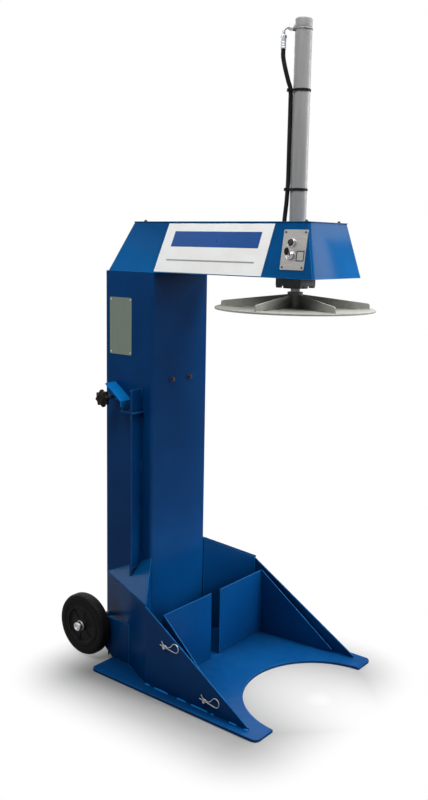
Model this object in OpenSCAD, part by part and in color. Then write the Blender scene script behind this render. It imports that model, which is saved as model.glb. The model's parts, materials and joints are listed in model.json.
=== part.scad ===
// Mobile waste compactor: a hydraulic press for a wheeled bin.
// A folded column stands at the rear of a floor plate and carries an
// overhanging head.  A long cylinder stands on the head and pushes a round
// ribbed platen down into the bin.  The bin opening faces -Y, the wheels
// are at +Y, the lever and the controls are on the -X side.
// Units are millimetres.  Inside the modules y = 0 is the rear edge of the
// floor plate; placed() then moves every piece so that the origin is the
// centre of the footprint of the whole machine.

/* [Floor plate] */
// Width of the floor plate
base_w = 714; // [640:2:860]
// Length of the floor plate, front to rear
base_l = 732; // [640:2:880]
// Thickness of the floor plate
base_t = 10; // [6:1:16]
// Radius of the round notch in the front edge
notch_r = 269; // [200:1:285]
// How far the centre of the notch lies in front of the front edge
notch_out = 15; // [0:1:60]
// Corner radius of the floor plate
base_corner_r = 20; // [5:1:30]

/* [Column] */
// Width of the column
col_w = 300; // [250:2:360]
// Depth of the column
col_d = 226; // [180:2:280]
// How far the column stands out behind the floor plate
col_back = 129; // [90:1:160]
// Height of the column top above the floor
col_top = 1410; // [1200:5:1700]
// Sheet thickness of the column
col_t = 4; // [3:0.5:6]
// Outside bend radius of the column's front corners
col_bend_r = 9; // [5:1:16]

/* [Head] */
// Half width of the hood at its lower rim
hood_half_low = 143; // [125:1:148]
// How much narrower each side of the hood is at the top
hood_taper = 30; // [15:1:45]
// Height of the hood
hood_h = 170; // [140:1:210]
// How far the hood's lower rim reaches forward of the floor plate's rear edge
hood_front = 744; // [700:1:800]
// How far the hood's front leans back at the top
hood_front_lean = 42; // [20:1:60]
// How far the hood's rear leans forward at the top
hood_rear_lean = 100; // [40:1:110]
// Sheet thickness of the hood
hood_t = 3; // [2:0.5:4]
// Thickness of the floor sheet inside the hood
head_floor_t = 8; // [6:1:12]
// Width of the beam inside the hood
beam_w = 170; // [150:2:200]
// Height of the beam inside the hood
beam_h = 122; // [100:1:130]
// Sheet thickness of the beam
beam_t = 6; // [4:1:8]

/* [Cylinder] */
// Distance from the floor plate's rear edge to the press axis
press_y = 584; // [540:1:640]
// Height of the cylinder's top above the floor
press_top = 2200; // [2050:5:2300]
// Outside diameter of the cylinder tube
tube_d = 54; // [50:1:70]
// Wall of the cylinder tube
tube_wall = 5; // [4:0.5:7]
// Diameter of the piston rod
rod_d = 30; // [25:1:35]
// Side of the square cylinder flange
flange_w = 95; // [84:1:110]
// Thickness of the cylinder flange
flange_t = 28; // [16:1:32]
// Outside diameter of the gland under the flange
gland_d = 80; // [60:1:84]

/* [Platen] */
// Diameter of the platen disc
platen_d = 520; // [420:5:560]
// Thickness of the platen disc
platen_t = 6; // [4:1:10]
// Number of ribs on the platen
rib_count = 6; // [4:1:8]
// Height of each rib at the hub
rib_in_h = 44; // [30:1:60]
// Height of each rib at the rim
rib_out_h = 20; // [10:1:28]
// Thickness of each rib
rib_t = 6; // [4:1:10]
// Turn of the first rib
rib_turn = 4; // [0:1:60]
// How far the ribs end inside the rim of the disc
rib_inset = 20; // [5:1:40]

/* [Side cheeks] */
// Half width across the cheeks at their fold
cheek_half = 317; // [290:1:325]
// How much further out the cheek's front end stands
cheek_flare = 9; // [0:1:14]
// Distance from the floor plate's rear edge to the cheek's fold
cheek_fold_y = 228; // [190:1:260]
// Distance from the floor plate's rear edge to the cheek's front end
cheek_front_y = 677; // [560:1:700]
// Height of the cheek at its fold
cheek_h = 297; // [220:1:360]
// Height of the cheek at the rear corner of the column
cheek_rear_h = 281; // [220:1:340]
// Height of the filler plate at the front corner of the column
cheek_web_h = 387; // [300:1:420]
// Height of the cheek's blunt front end
cheek_tip_h = 18; // [12:1:40]
// Sheet thickness of the cheeks
cheek_t = 5; // [4:0.5:8]

/* [Bin guides] */
// Distance from the floor plate's rear edge to the guides' back wall
guide_y = 281; // [255:1:320]
// Half width across the guides' back walls
guide_half = 284; // [250:1:288]
// How much further out the front ends of the side wings stand
guide_flare = 27; // [0:1:28]
// Height of the guides
guide_h = 262; // [180:1:280]
// Gap between the two guides
guide_gap = 50; // [30:1:80]
// Length of the guides' side wings
guide_wing = 312; // [260:1:340]
// Sheet thickness of the guides
guide_t = 5; // [3:0.5:6]

/* [Wheels] */
// Diameter of the transport wheels
wheel_d = 227; // [180:1:232]
// Width of the transport wheels
wheel_w = 45; // [35:1:60]
// Distance from the centre plane to the inner face of a wheel
wheel_in = 256; // [250:1:280]
// Distance of the axle behind the floor plate
axle_y = 112; // [90:1:118]
// Height of the axle above the floor
axle_z = 118; // [105:1:130]
// Diameter of the axle
axle_d = 20; // [16:1:25]
// Radial running clearance of shafts and rods
run_gap = 0.05; // [0.02:0.01:0.1]
// Clearance between pieces that move past each other
part_gap = 0.3; // [0.2:0.05:0.5]

/* [Latch] */
// Distance the fin stands out from the column
fin_out = 50; // [35:1:60]
// Height of the fin's top above the floor
fin_top = 1000; // [900:1:1100]
// Distance of the fin's front face in front of the floor plate's rear edge
fin_y = 47; // [35:1:70]
// Thickness of the fin
fin_t = 10; // [6:1:14]
// Height of the latch pivot above the floor
pivot_z = 960; // [900:1:1050]
// Distance of the latch pivot behind the floor plate's rear edge
pivot_y = 73; // [60:1:90]
// Diameter of the star knob
knob_d = 64; // [50:1:80]

/* [Controls] */
// Width of the control plate
panel_w = 88; // [80:1:100]
// Height of the control plate along the slope
panel_h = 124; // [110:1:140]
// Distance from the floor plate's rear edge to the middle of the control plate
panel_y = 660; // [630:1:680]
// Diameter of the bezels of the button and the key switch
bezel_d = 29; // [24:1:32]
// Travel of the push button
button_travel = 4; // [2:0.5:6]

/* [Hidden] */

$fn = 48;
tiny = 0.01;
facets = 32;

// The footprint of the whole machine, for the origin
front_end = -press_y - platen_d / 2;
rear_end = axle_y + wheel_d / 2;
mid_y = (front_end + rear_end) / 2;

// Column
col_front = col_back - col_d;
cover_t = 3;
col_return = 22;
col_cut_h = 50;
end_plate_t = 4;

// Head
head_z = col_top;
hood_top = head_z + hood_h;
top_cover_t = 3;
cover_z = hood_top + top_cover_t;
hood_slope = atan(hood_taper / hood_h);
hood_half_top = hood_half_low - hood_taper;
hood_corner_r = 9;
floor_z = head_z + head_floor_t;
hole_gap = 3;
hose_slot = [90, 44];
hose_slot_at = [-36, 42];

// Cylinder
tube_r = tube_d / 2;
bore_r = tube_r - tube_wall;
cap_h = 32;
cap_spigot = 15;
cap_z = press_top - cap_h;
flange_z = head_z - flange_t;
gland_h = 8;
gland_z = flange_z - gland_h;
tube_seat = 12;
tube_z = head_z - tube_seat;
gland_spigot_top = tube_z + 30;
bolt_pitch = 76;
bolt_d = 10;
bolt_head_d = 20;
bolt_head_h = 6.5;

// Platen and rod: platen_z is the underside of the disc with the rod home
neck_h = 11;
hub_d = 50;
hub_ring_h = 8;
disc_top = gland_z - neck_h - hub_ring_h - rib_in_h;
platen_z = disc_top - platen_t;
piston_h = 40;
piston_z = cap_z - cap_spigot - part_gap - piston_h;

// Hoses
hose_r = 7;
hose_side = 8;
port_z = press_top - 29;
tie_z = [press_top - 217, head_z + 271];
tie_w = 7.6;
tie_t = 1.6;
tie_fit = 0.1;

// Cheeks
oblique_dx = cheek_half - col_w / 2;
oblique_dy = cheek_fold_y + col_back;
oblique_l = norm([oblique_dx, oblique_dy]);
filler_drop = 7.5;

// The inclined filler plate: its upper face as a height over any point
slope_y = (cheek_rear_h - cheek_web_h) / col_d;
slope_x = (cheek_web_h + slope_y * (-cheek_fold_y - col_front) - cheek_h)
    / oblique_dx;
function filler_z(x, y) = cheek_web_h + slope_y * (y - col_front)
    - slope_x * (x - col_w / 2);

// Wheels
bracket_t = 8;
washer_t = 5;
bracket_out = wheel_in - washer_t - 2 * part_gap;
bracket_top = axle_z + 42;
hub_r = 72;
boss_r = 22;
cap_len = 22;
axle_half = wheel_in + wheel_w + 6;

// Guides
wing_low = 14;
pin_d = 10;
shoulder_d = 18;
pin_end = 10;
pin_at = [[-322, 175], [-500, 46]];
wire_d = 3;
clip_gap = 3.2;
clip_lean = 8;

// Latch
fin_x = col_w / 2 + fin_out;
shelf_t = 5;
shelf_z = 920;
latch_t = 5;
latch_in = col_w / 2 + part_gap;
latch_w = 51;
stud_d = 10;
knob_t = 24;
knob_in = col_w / 2 + 65;
sleeve_d = 16;

// Power pack inside the column
tank_z = 420;
tank_flange_t = 4;
tank = [220, 170, 160];
tank_y = 18;
tank_top = tank_z + tank[2];
motor_x = 62;
motor_d = 120;
motor_h = 210;
block = [80, 60, 75];
block_x = -40;
block_top = tank_top + block[2];
fitting_h = 16;
hose_y = 44;
hose_x = [-55, -20];

module placed() {
    translate([0, -mid_y, 0]) children();
}

module both_sides() {
    children();
    mirror([1, 0, 0]) children();
}

// A point on the left slope of the hood; +Z of the children points outwards
module on_slope(y, z) {
    rise = z - head_z;
    translate([-hood_half_low + rise * tan(hood_slope), y, z])
        rotate([0, -(90 - hood_slope), 0]) children();
}

// A wall that stands on the line from a to b; the outline is drawn along
// the line and up, and the sheet lies to the left of the line
module wall(a, b, t) {
    translate([a[0], a[1], 0])
        rotate([0, 0, atan2(b[1] - a[1], b[0] - a[0])])
        translate([0, t, 0]) rotate([90, 0, 0]) linear_extrude(t) children();
}

module rod_x(d, x0, x1) {
    translate([x0, 0, 0]) rotate([0, 90, 0]) cylinder(h = x1 - x0, d = d);
}

function unit(v) = v / norm(v);

// Rings of a round tube along a route whose tangent is never along X
function ring(p, t, r, sides) =
    let(s = unit(cross(t, [1, 0, 0])), u = cross(s, t))
    [for (i = [0 : sides - 1])
        p + r * (cos(360 * i / sides) * s + sin(360 * i / sides) * u)];

module tube_along(route, r, sides) {
    n = len(route);
    points = [for (k = [0 : n - 1])
        let(before = route[max(k - 1, 0)], after = route[min(k + 1, n - 1)])
        each ring(route[k], unit(after - before), r, sides)];
    skin = [for (k = [0 : n - 2], i = [0 : sides - 1])
        let(j = (i + 1) % sides)
        [k * sides + i, (k + 1) * sides + i,
            (k + 1) * sides + j, k * sides + j]];
    start_face = [for (i = [0 : sides - 1]) i];
    end_face = [for (i = [0 : sides - 1]) n * sides - 1 - i];
    polyhedron(points, concat([start_face], skin, [end_face]));
}

// Smooth route through hand-chosen points
function spline(a, b, c, d, t) = 0.5 * (2 * b + (c - a) * t
    + (2 * a - 5 * b + 4 * c - d) * t * t
    + (3 * b - a - 3 * c + d) * t * t * t);
function smooth(p, steps) = concat([for (k = [0 : len(p) - 2],
    i = [0 : steps - 1]) spline(p[max(k - 1, 0)], p[k], p[k + 1],
    p[min(k + 2, len(p) - 1)], i / steps)], [p[len(p) - 1]]);

module rounded_box(size, r) {
    linear_extrude(size[2]) rounded_rect(size[0], size[1], r);
}

module rounded_rect(w, l, r) {
    square([w - 2 * r, l], center = true);
    square([w, l - 2 * r], center = true);
    for (x = [-1, 1], y = [-1, 1])
        translate([x * (w / 2 - r), y * (l / 2 - r)]) circle(r);
}

/* ---- floor plate and cheeks ---- */

module base_plate() {
    color("royalblue") placed() translate([0, -base_l / 2, 0])
        linear_extrude(base_t) difference() {
            rounded_rect(base_w, base_l, base_corner_r);
            translate([0, -base_l / 2 - notch_out]) circle(notch_r, $fn = 96);
        }
}

// A point on the fold line, moved to the inner side of both runs
function mitre(a, b, c, t) =
    let(n1 = left_of(a, b), n2 = left_of(b, c))
    b + t * (n1 + n2) / (1 + n1 * n2);
function left_of(a, b) = unit([a[1] - b[1], b[0] - a[0]]);

// Folded sheet: the footprint is extruded and cut by the side profile
module side_sheet() {
    rear = [-col_w / 2, col_back];
    fold = [-cheek_half, -cheek_fold_y];
    front = [-cheek_half - cheek_flare, -cheek_front_y];
    inner_t = cheek_t * left_of(rear, fold);
    outer_t = cheek_t * left_of(fold, front);
    difference() {
        intersection() {
            linear_extrude(cheek_web_h) polygon([rear, fold, front,
                front + outer_t, mitre(rear, fold, front, cheek_t),
                rear + inner_t]);
            translate([-base_w, 0, 0]) rotate([90, 0, 90])
                linear_extrude(base_w - col_w / 2) polygon([[0, base_t],
                [col_back, base_t + col_cut_h],
                [col_back, cheek_rear_h - filler_drop],
                [-cheek_fold_y, cheek_h - filler_drop],
                [-cheek_front_y, cheek_tip_h], [-cheek_front_y, base_t]]);
        }
        translate([0, axle_y, axle_z])
            rod_x(axle_d + 2 * run_gap, -cheek_half, 0);
        guide_pin_holes(2 * run_gap);
    }
}

module guide_pin_holes(play) {
    for (p = pin_at) translate([0, p[0], p[1]])
        rod_x(pin_d + play, -base_w / 2, -guide_half);
}

module front_web() {
    corner = [-col_w / 2, col_front];
    fold = [-cheek_half + cheek_t, -cheek_fold_y];
    web_l = norm(fold - corner);
    difference() {
        mirror([0, 1, 0])
            wall([corner[0], -corner[1]], [fold[0], -fold[1]], cheek_t)
            translate([-5, base_t]) square([web_l + 5, cheek_web_h - base_t]);
        side_sheet_zone();
        above_filler();
        translate([-col_w / 2, col_front - 20, 0])
            cube([20, 60, cheek_web_h + 10]);
    }
}

// Everything outside the inner face of the side sheet trims the web
module side_sheet_zone() {
    fold = [-cheek_half, -cheek_fold_y];
    rear = [-col_w / 2, col_back];
    front = [-cheek_half - cheek_flare, -cheek_front_y];
    inner_t = cheek_t * left_of(rear, fold);
    linear_extrude(cheek_web_h + 10) polygon([rear + inner_t,
        mitre(rear, fold, front, cheek_t), [-cheek_half + cheek_t,
        -cheek_front_y], [-base_w, -cheek_front_y], [-base_w, col_back]]);
}

// Triangular plate that closes the wedge between cheek, web and column
module filler_plate() {
    corners = [[col_w / 2, col_back], [col_w / 2, col_front],
        [cheek_half, -cheek_fold_y]];
    upper = [for (c = corners) [-c[0], c[1], filler_z(c[0], c[1])]];
    lower = [for (p = upper) p - [0, 0, filler_drop]];
    polyhedron(concat(upper, lower), [[0, 1, 2], [5, 4, 3],
        [0, 3, 4, 1], [1, 4, 5, 2], [2, 5, 3, 0]]);
}

// Everything above the underside of the filler plate's plane
module above_filler() {
    corners = [[0, base_l], [0, -base_l], [base_w, -base_l],
        [base_w, base_l]];
    lower = [for (c = corners)
        [-c[0], c[1], filler_z(c[0], c[1]) - filler_drop]];
    upper = [for (p = lower) p + [0, 0, base_w]];
    polyhedron(concat(upper, lower), [[0, 1, 2, 3], [7, 6, 5, 4],
        [0, 4, 5, 1], [1, 5, 6, 2], [2, 6, 7, 3], [3, 7, 4, 0]]);
}

module left_side_sheet() { color("navy") placed() side_sheet(); }
module right_side_sheet() {
    color("navy") placed() mirror([1, 0, 0]) side_sheet();
}
module front_webs() { color("mediumblue") placed() both_sides() front_web(); }
module filler_plates() {
    color("cornflowerblue") placed() both_sides() filler_plate();
}

/* ---- column ---- */

module column_outline(inset) {
    r = col_bend_r - inset;
    half = col_w / 2 - inset;
    front = col_front + inset;
    translate([-half, front + r]) square([2 * half, col_back - front - r]);
    translate([-half + r, front]) square([2 * (half - r), r + tiny]);
    for (x = [-1, 1]) translate([x * (half - r), front + r]) circle(r);
}

module column_shell() {
    high = col_top - base_t;
    color("midnightblue") placed() difference() {
        union() {
            translate([0, 0, base_t]) linear_extrude(high) difference() {
                column_outline(0);
                column_outline(col_t);
            }
            translate([0, 0, col_top - end_plate_t])
                linear_extrude(end_plate_t) column_outline(col_t / 2);
            for (x = [-1, 1]) translate([x * (col_w - col_return) / 2,
                col_back - cover_t - col_t / 2, base_t + high / 2])
                cube([col_return, col_t, high], center = true);
        }
        rear_step();
        rear_chamfer();
        hose_slot_cut();
        translate([0, axle_y, axle_z])
            rod_x(axle_d + 2 * run_gap, -col_w, col_w);
        for (x = [-1, 1]) translate([x * screw_half, col_front - 1, screw_z])
            rotate([-90, 0, 0]) cylinder(h = col_t + 2, d = front_screw_d);
        for (p = cover_screw_at) translate([p[0], col_back, p[1]])
            rotate([90, 0, 0]) cylinder(h = 12, d = cover_screw_d);
        translate([0, pivot_y, pivot_z])
            rod_x(stud_d, -col_w, -col_w / 2 + 2 * col_t);
    }
}
cover_screw_d = 5;
screw_half = 48;
screw_z = 1029;
screw_bite = 10;
front_screw_d = 8;
cover_half = col_w / 2 - col_t - 1;
cover_screw_at = [for (x = [-1, 1], k = [0 : 2])
    [x * (cover_half - 9), 140 + k * (col_top - 220) / 2]];

// The rear cover lies in a step, so the outline ends in front of it
module rear_step() {
    translate([-cover_half - 0.5, col_back - cover_t, 0])
        cube([2 * cover_half + 1, cover_t + 1, col_top]);
}

// The overhang behind the floor plate is cut away underneath
module rear_chamfer() {
    translate([-col_w, 0, 0]) rotate([90, 0, 90])
        linear_extrude(2 * col_w) polygon([[0, -1], [0, base_t],
            [col_back, base_t + col_cut_h], [col_back + 20, base_t + col_cut_h],
            [col_back + 20, -1]]);
}

module hose_slot_cut() {
    translate([hose_slot_at[0] - hose_slot[0] / 2,
        hose_slot_at[1] - hose_slot[1] / 2, col_top - 20])
        cube([hose_slot[0], hose_slot[1], 60]);
}

module rear_cover() {
    low = base_t + col_cut_h + 4;
    color("midnightblue") placed() difference() {
        translate([-cover_half, col_back - cover_t, low])
            cube([2 * cover_half, cover_t, col_top - end_plate_t - 2 - low]);
        for (p = cover_screw_at) translate([p[0], col_back + 1, p[1]])
            rotate([90, 0, 0]) cylinder(h = 12, d = cover_screw_d);
        translate([inlet_x, col_back + 1, inlet_z])
            rotate([90, 0, 0]) cylinder(h = 12, d = inlet_d);
    }
}
inlet_x = 70;
inlet_z = 240;
inlet_d = 25;

module rear_cover_screws() {
    color("silver") placed() for (p = cover_screw_at)
        translate([p[0], col_back, p[1]]) rotate([-90, 0, 0]) {
            cylinder(h = 3, d = 10);
            translate([0, 0, -cover_t - col_t]) cylinder(
                h = cover_t + col_t, d = cover_screw_d);
        }
}

module column_front_screws() {
    color("dimgray") placed() for (x = [-1, 1])
        translate([x * screw_half, col_front, screw_z])
            rotate([90, 0, 0]) difference() {
                union() {
                    translate([0, 0, -col_t - screw_bite])
                        cylinder(h = col_t + screw_bite + 2, d = front_screw_d);
                    cylinder(h = 2, d = 17);
                    translate([0, 0, 2]) cylinder(h = 9, d = 14);
                }
                translate([0, 0, 6]) cylinder(h = 6, d = 7, $fn = 6);
            }
}

/* ---- head ---- */

module head_floor() {
    half = hood_half_low - hood_t - 6;
    color("midnightblue") placed() difference() {
        translate([-half, -hood_front + 12, head_z])
            cube([2 * half, hood_front - 12 + col_back - 8, head_floor_t]);
        press_hole(tube_r + run_gap);
        flange_holes();
        hose_slot_cut();
    }
}

module press_hole(r) {
    translate([0, -press_y, head_z - 60]) cylinder(h = hood_h + 100, r = r);
}

module flange_holes() {
    for (x = [-1, 1], y = [-1, 1])
        translate([x * bolt_pitch / 2, -press_y + y * bolt_pitch / 2,
            flange_z - 20]) cylinder(h = flange_t + 80, d = bolt_d);
}

// Channel that is open underneath; its rear end follows the hood's slope
module head_beam() {
    rear = col_back - 16;
    front = -press_y - 90;
    lean = beam_h * hood_rear_lean / hood_h;
    color("midnightblue") placed() difference() {
        translate([-beam_w / 2, 0, floor_z]) rotate([90, 0, 90])
            linear_extrude(beam_w) polygon([[front, 0], [rear, 0],
                [rear - lean, beam_h], [front, beam_h]]);
        translate([-beam_w / 2 + beam_t, front - 1, floor_z - 1])
            cube([beam_w - 2 * beam_t, rear - front + 2, beam_h - beam_t + 1]);
        press_hole(tube_r + hole_gap);
        hose_hole(hose_r + hole_gap);
    }
}

module hose_hole(r) {
    translate([hose_down[0], hose_down[1], hood_top - 80])
        cylinder(h = 120, r = r);
}
hose_down = [-tube_r - 3, -press_y + tube_r + 3];

module hood_block(low_half, low_front, low_rear, inset, z0, z1) {
    up_half = low_half - hood_taper;
    up_front = low_front - hood_front_lean;
    up_rear = low_rear - hood_rear_lean;
    hull() {
        hood_layer(low_half - inset, low_front - inset, low_rear - inset, z0);
        hood_layer(up_half - inset, up_front - inset, up_rear - inset,
            z1 - tiny);
    }
}

module hood_layer(half, front, rear, z) {
    translate([0, (rear - front) / 2, z]) linear_extrude(tiny)
        rounded_rect(2 * half, front + rear, hood_corner_r, $fn = facets);
}

module head_hood() {
    color("dodgerblue") placed() difference() {
        hood_block(hood_half_low, hood_front, col_back, 0, head_z, hood_top);
        difference() {
            hood_block(hood_half_low, hood_front, col_back, hood_t,
                head_z - tiny, hood_top + tiny);
            translate([-hood_half_low, -hood_front, hood_top - hood_t])
                cube([2 * hood_half_low, hood_front + col_back, 20]);
        }
        press_hole(tube_r + hole_gap);
        hose_hole(hose_r + 5);
        for (p = panel_holes) on_slope(-panel_y + p[1],
            panel_z + p[0] * cos(hood_slope)) translate([0, 0, -10])
                cylinder(h = 20, d = bezel_stem_d + 2 * part_gap);
    }
}
panel_z = head_z + 87;
bezel_stem_d = 22;
panel_holes = [[21, 10], [-18, 9]];

module head_top_cover() {
    half = hood_half_top + 2;
    front = hood_front - hood_front_lean + 2;
    rear = col_back - hood_rear_lean + 2;
    color("navy") placed() difference() {
        translate([0, (rear - front) / 2, hood_top]) rounded_box(
            [2 * half, front + rear, top_cover_t], hood_corner_r);
        press_hole(tube_r + hole_gap);
        hose_hole(hose_r + 3.5);
    }
}

module top_cover_screws() {
    half = hood_half_top - 18;
    for (x = [-half, half], y = [-hood_front + hood_front_lean + 22,
        col_back - hood_rear_lean - 40])
        color("dimgray") placed() translate([x, y, cover_z]) {
            cylinder(h = 2, d = 14);
            translate([0, 0, 2]) cylinder(h = 4, d = 9);
        }
}

// Printed panel on the left slope; a parallelogram, rear end to the left
module side_label_panel() {
    low = -hood_h / cos(hood_slope) / 2 + 3;
    high = -low - 1;
    mid = head_z + hood_h / 2;
    color("white") placed() on_slope(0, mid)
        translate([0, 0, label_glue]) linear_extrude(0.8)
        polygon([[low, -94], [low, -548], [high, -578], [high, -140]]);
}

label_glue = 0.05;

/* ---- controls ---- */

module on_panel(at) {
    on_slope(-panel_y, panel_z) translate([at[0], at[1], panel_t]) children();
}
panel_t = 2;
panel_screw_in = 8;

module control_plate() {
    color("silver") placed() difference() {
        on_slope(-panel_y, panel_z) rounded_box(
            [panel_h, panel_w, panel_t], 4);
        for (p = panel_holes) on_panel(p) translate([0, 0, -6])
            cylinder(h = 12, d = bezel_stem_d + 2 * run_gap);
    }
}

module control_plate_screws() {
    color("gainsboro") placed() for (x = [-1, 1], y = [-1, 1])
        on_panel([x * (panel_h / 2 - panel_screw_in),
            y * (panel_w / 2 - panel_screw_in)])
            cylinder(h = 2, d = 7);
}

module button_housing() {
    color("lightgray") placed() on_panel(panel_holes[0]) difference() {
        union() {
            cylinder(h = 8, d1 = bezel_d, d2 = bezel_d - 4);
            translate([0, 0, -30]) cylinder(h = 30, d = bezel_stem_d);
        }
        translate([0, 0, -8]) cylinder(h = 20, d = cap_d + 2 * part_gap);
    }
}
cap_d = 18;

module push_button() {
    color("black") placed() on_panel(panel_holes[0])
        translate([0, 0, -8 + part_gap + button_travel])
        cylinder(h = 17, d = cap_d);
}

module key_switch_housing() {
    color("lightgray") placed() on_panel(panel_holes[1]) difference() {
        union() {
            cylinder(h = 11, d1 = bezel_d, d2 = bezel_d - 5);
            translate([0, 0, -30]) cylinder(h = 30, d = bezel_stem_d);
        }
        translate([0, 0, -8]) cylinder(h = 22, d = cap_d + 2 * part_gap);
    }
}

// Turning core of the switch with the key in it
module switch_key() {
    color("darkgray") placed() on_panel(panel_holes[1])
        translate([0, 0, -8 + part_gap]) {
        cylinder(h = 21, d = cap_d);
        translate([-2, -1.25, 21]) cube([9, 2.5, 14]);
        translate([9, 0, 32]) rotate([90, 0, 0]) translate([0, 0, -1.75])
            cylinder(h = 3.5, d = 24);
    }
}

module switch_label() {
    color("whitesmoke") placed() on_panel([-19, -26])
        translate([-16, -14, 0]) cube([32, 28, 0.5]);
}

/* ---- cylinder ---- */

module at_press() { placed() translate([0, -press_y, 0]) children(); }

module cylinder_tube() {
    color("darkgray") at_press() difference() {
        translate([0, 0, tube_z]) cylinder(h = cap_z - tube_z, r = tube_r);
        translate([0, 0, tube_z - 1])
            cylinder(h = cap_z - tube_z + 2, r = bore_r);
    }
}

module cylinder_cap() {
    color("darkgray") at_press() {
        translate([0, 0, cap_z]) cylinder(h = cap_h - 2, r = tube_r);
        translate([0, 0, press_top - 2])
            cylinder(h = 2, r1 = tube_r, r2 = tube_r - 2);
        translate([0, 0, cap_z - cap_spigot])
            cylinder(h = cap_spigot, r = bore_r);
    }
}

module cylinder_flange() {
    color("dimgray") at_press() difference() {
        translate([0, 0, flange_z])
            rounded_box([flange_w, flange_w, flange_t], 5);
        translate([0, 0, tube_z]) cylinder(h = tube_seat + 1, r = tube_r);
        translate([0, 0, flange_z - 1]) cylinder(h = flange_t, r = bore_r);
        for (x = [-1, 1], y = [-1, 1])
            translate([x * bolt_pitch / 2, y * bolt_pitch / 2, flange_z - 1])
                cylinder(h = flange_t + 2, d = bolt_d);
    }
}

module flange_bolts() {
    color("dimgray") at_press() for (x = [-1, 1], y = [-1, 1])
        translate([x * bolt_pitch / 2, y * bolt_pitch / 2, flange_z]) {
            translate([0, 0, -bolt_head_h])
                cylinder(h = bolt_head_h, d = bolt_head_d, $fn = 6);
            cylinder(h = flange_t + head_floor_t + 12, d = bolt_d);
            translate([0, 0, flange_t + head_floor_t])
                cylinder(h = 8, d = bolt_head_d, $fn = 6);
        }
}

module rod_gland() {
    color("dimgray") at_press() difference() {
        union() {
            translate([0, 0, gland_z]) cylinder(h = gland_h, d = gland_d);
            translate([0, 0, flange_z])
                cylinder(h = gland_spigot_top - flange_z, r = bore_r);
        }
        translate([0, 0, gland_z - 1]) cylinder(
            h = gland_spigot_top - gland_z + 2, d = rod_d + 2 * run_gap);
    }
}

module piston_and_rod() {
    color("silver") at_press() {
        translate([0, 0, piston_z]) difference() {
            cylinder(h = piston_h, r = bore_r - run_gap);
            for (z = seal_at) translate([0, 0, z]) ring_cut();
        }
        translate([0, 0, disc_top]) cylinder(
            h = piston_z - disc_top, d = rod_d);
    }
}
seal_h = 6;
seal_depth = 4;
seal_at = [7, 27];

module ring_cut() {
    difference() {
        cylinder(h = seal_h, r = bore_r + 1);
        translate([0, 0, -1])
            cylinder(h = seal_h + 2, r = bore_r - seal_depth);
    }
}

module piston_seals() {
    color("saddlebrown") at_press() for (z = seal_at)
        translate([0, 0, piston_z + z]) difference() {
            cylinder(h = seal_h, r = bore_r - run_gap);
            translate([0, 0, -1])
                cylinder(h = seal_h + 2, r = bore_r - seal_depth);
        }
}

/* ---- hoses ---- */

// Direction from the press axis to the side where the hose runs down
hose_dir = [-sin(45), cos(45), 0];
press_at = [0, -press_y, 0];
function beside(r, z) = press_at + r * hose_dir + [0, 0, z];

// Upper end, ties, passage through the cover, head and column
pressure_route = [beside(62, 2108), beside(62, 2098), beside(62, 2090),
    beside(60.5, 2078), beside(54, 2050),
    beside(43, 2012), beside(35.5, 1987), beside(34.5, 1930),
    beside(34.5, 1810), beside(34.5, 1720), beside(35.5, 1685),
    beside(38, 1640),
    [-30, -554, 1590], [-30, -554, 1560], [-31, -552, 1530],
    [-36, -536, 1490],
    [-42, -500, 1466], [-50, -420, 1460], [-54, -300, 1460],
    [-55, -180, 1460], [-55, -60, 1460], [-55, 0, 1456],
    [-55, 32, 1436], [-55, 42, 1400], [-55, 44, 1340], [-55, 44, 1200],
    [-55, 44, 1000], [-55, 44, 800], [-55, 44, 671]];
return_route = [[0, -540, 1442], [0, -530, 1442], [0, -520, 1442],
    [0, -500, 1440], [-3, -420, 1436],
    [-12, -300, 1434], [-18, -180, 1434], [-20, -60, 1434],
    [-20, 0, 1432], [-20, 34, 1418], [-20, 43, 1385], [-20, 44, 1320],
    [-20, 44, 1100], [-20, 44, 900], [-20, 44, 671]];

module pressure_hose() {
    color("black") placed()
        tube_along(smooth(pressure_route, 3), hose_r, hose_side);
}

module return_hose() {
    color("black") placed()
        tube_along(smooth(return_route, 3), hose_r, hose_side);
}

// Fittings of both cylinder ports and of the valve block
module hose_fittings() {
    color("gainsboro") placed() {
        difference() {
            translate(press_at + [0, 0, port_z]) {
                rotate([0, 0, 135]) upper_fitting();
                translate([0, 0, rod_port_z - port_z]) rotate([-90, 0, 0]) {
                    cylinder(h = port_end, d = 18);
                    translate([0, 0, port_end - 9])
                        cylinder(h = 5, d = 22, $fn = 6);
                }
            }
            translate(press_at) cylinder(h = press_top, r = tube_r);
        }
        for (x = hose_x) translate([x, hose_y, block_top]) {
            cylinder(h = fitting_h, d = 16);
            cylinder(h = 6, d = 22, $fn = 6);
        }
    }
}

// Port block, bent pipe and crimped ferrule beside the cylinder's top
module upper_fitting() {
    drop = ferrule_low - port_z;
    rotate([0, 90, 0]) {
        cylinder(h = tube_r + 8, d = 17);
        translate([0, 0, tube_r + 7]) cylinder(h = 11, d = 19, $fn = 6);
        cylinder(h = hose_out - bend_r, d = pipe_d);
    }
    translate([hose_out - bend_r, 0, -bend_r]) rotate([90, 0, 0])
        rotate_extrude(angle = 90) translate([bend_r, 0])
        circle(d = pipe_d);
    translate([hose_out, 0, drop + 1])
        cylinder(h = -bend_r - drop - 1, d = pipe_d);
    translate([hose_out, 0, drop]) {
        cylinder(h = ferrule_h, d = 17);
        translate([0, 0, ferrule_h - 6]) cylinder(h = 8, d = 20, $fn = 6);
    }
}
hose_out = 62;
ferrule_low = port_z - 63;
ferrule_h = 38;
rod_port_z = head_z + 32;
port_end = 44;
pipe_d = 9;
bend_r = 12;

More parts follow.
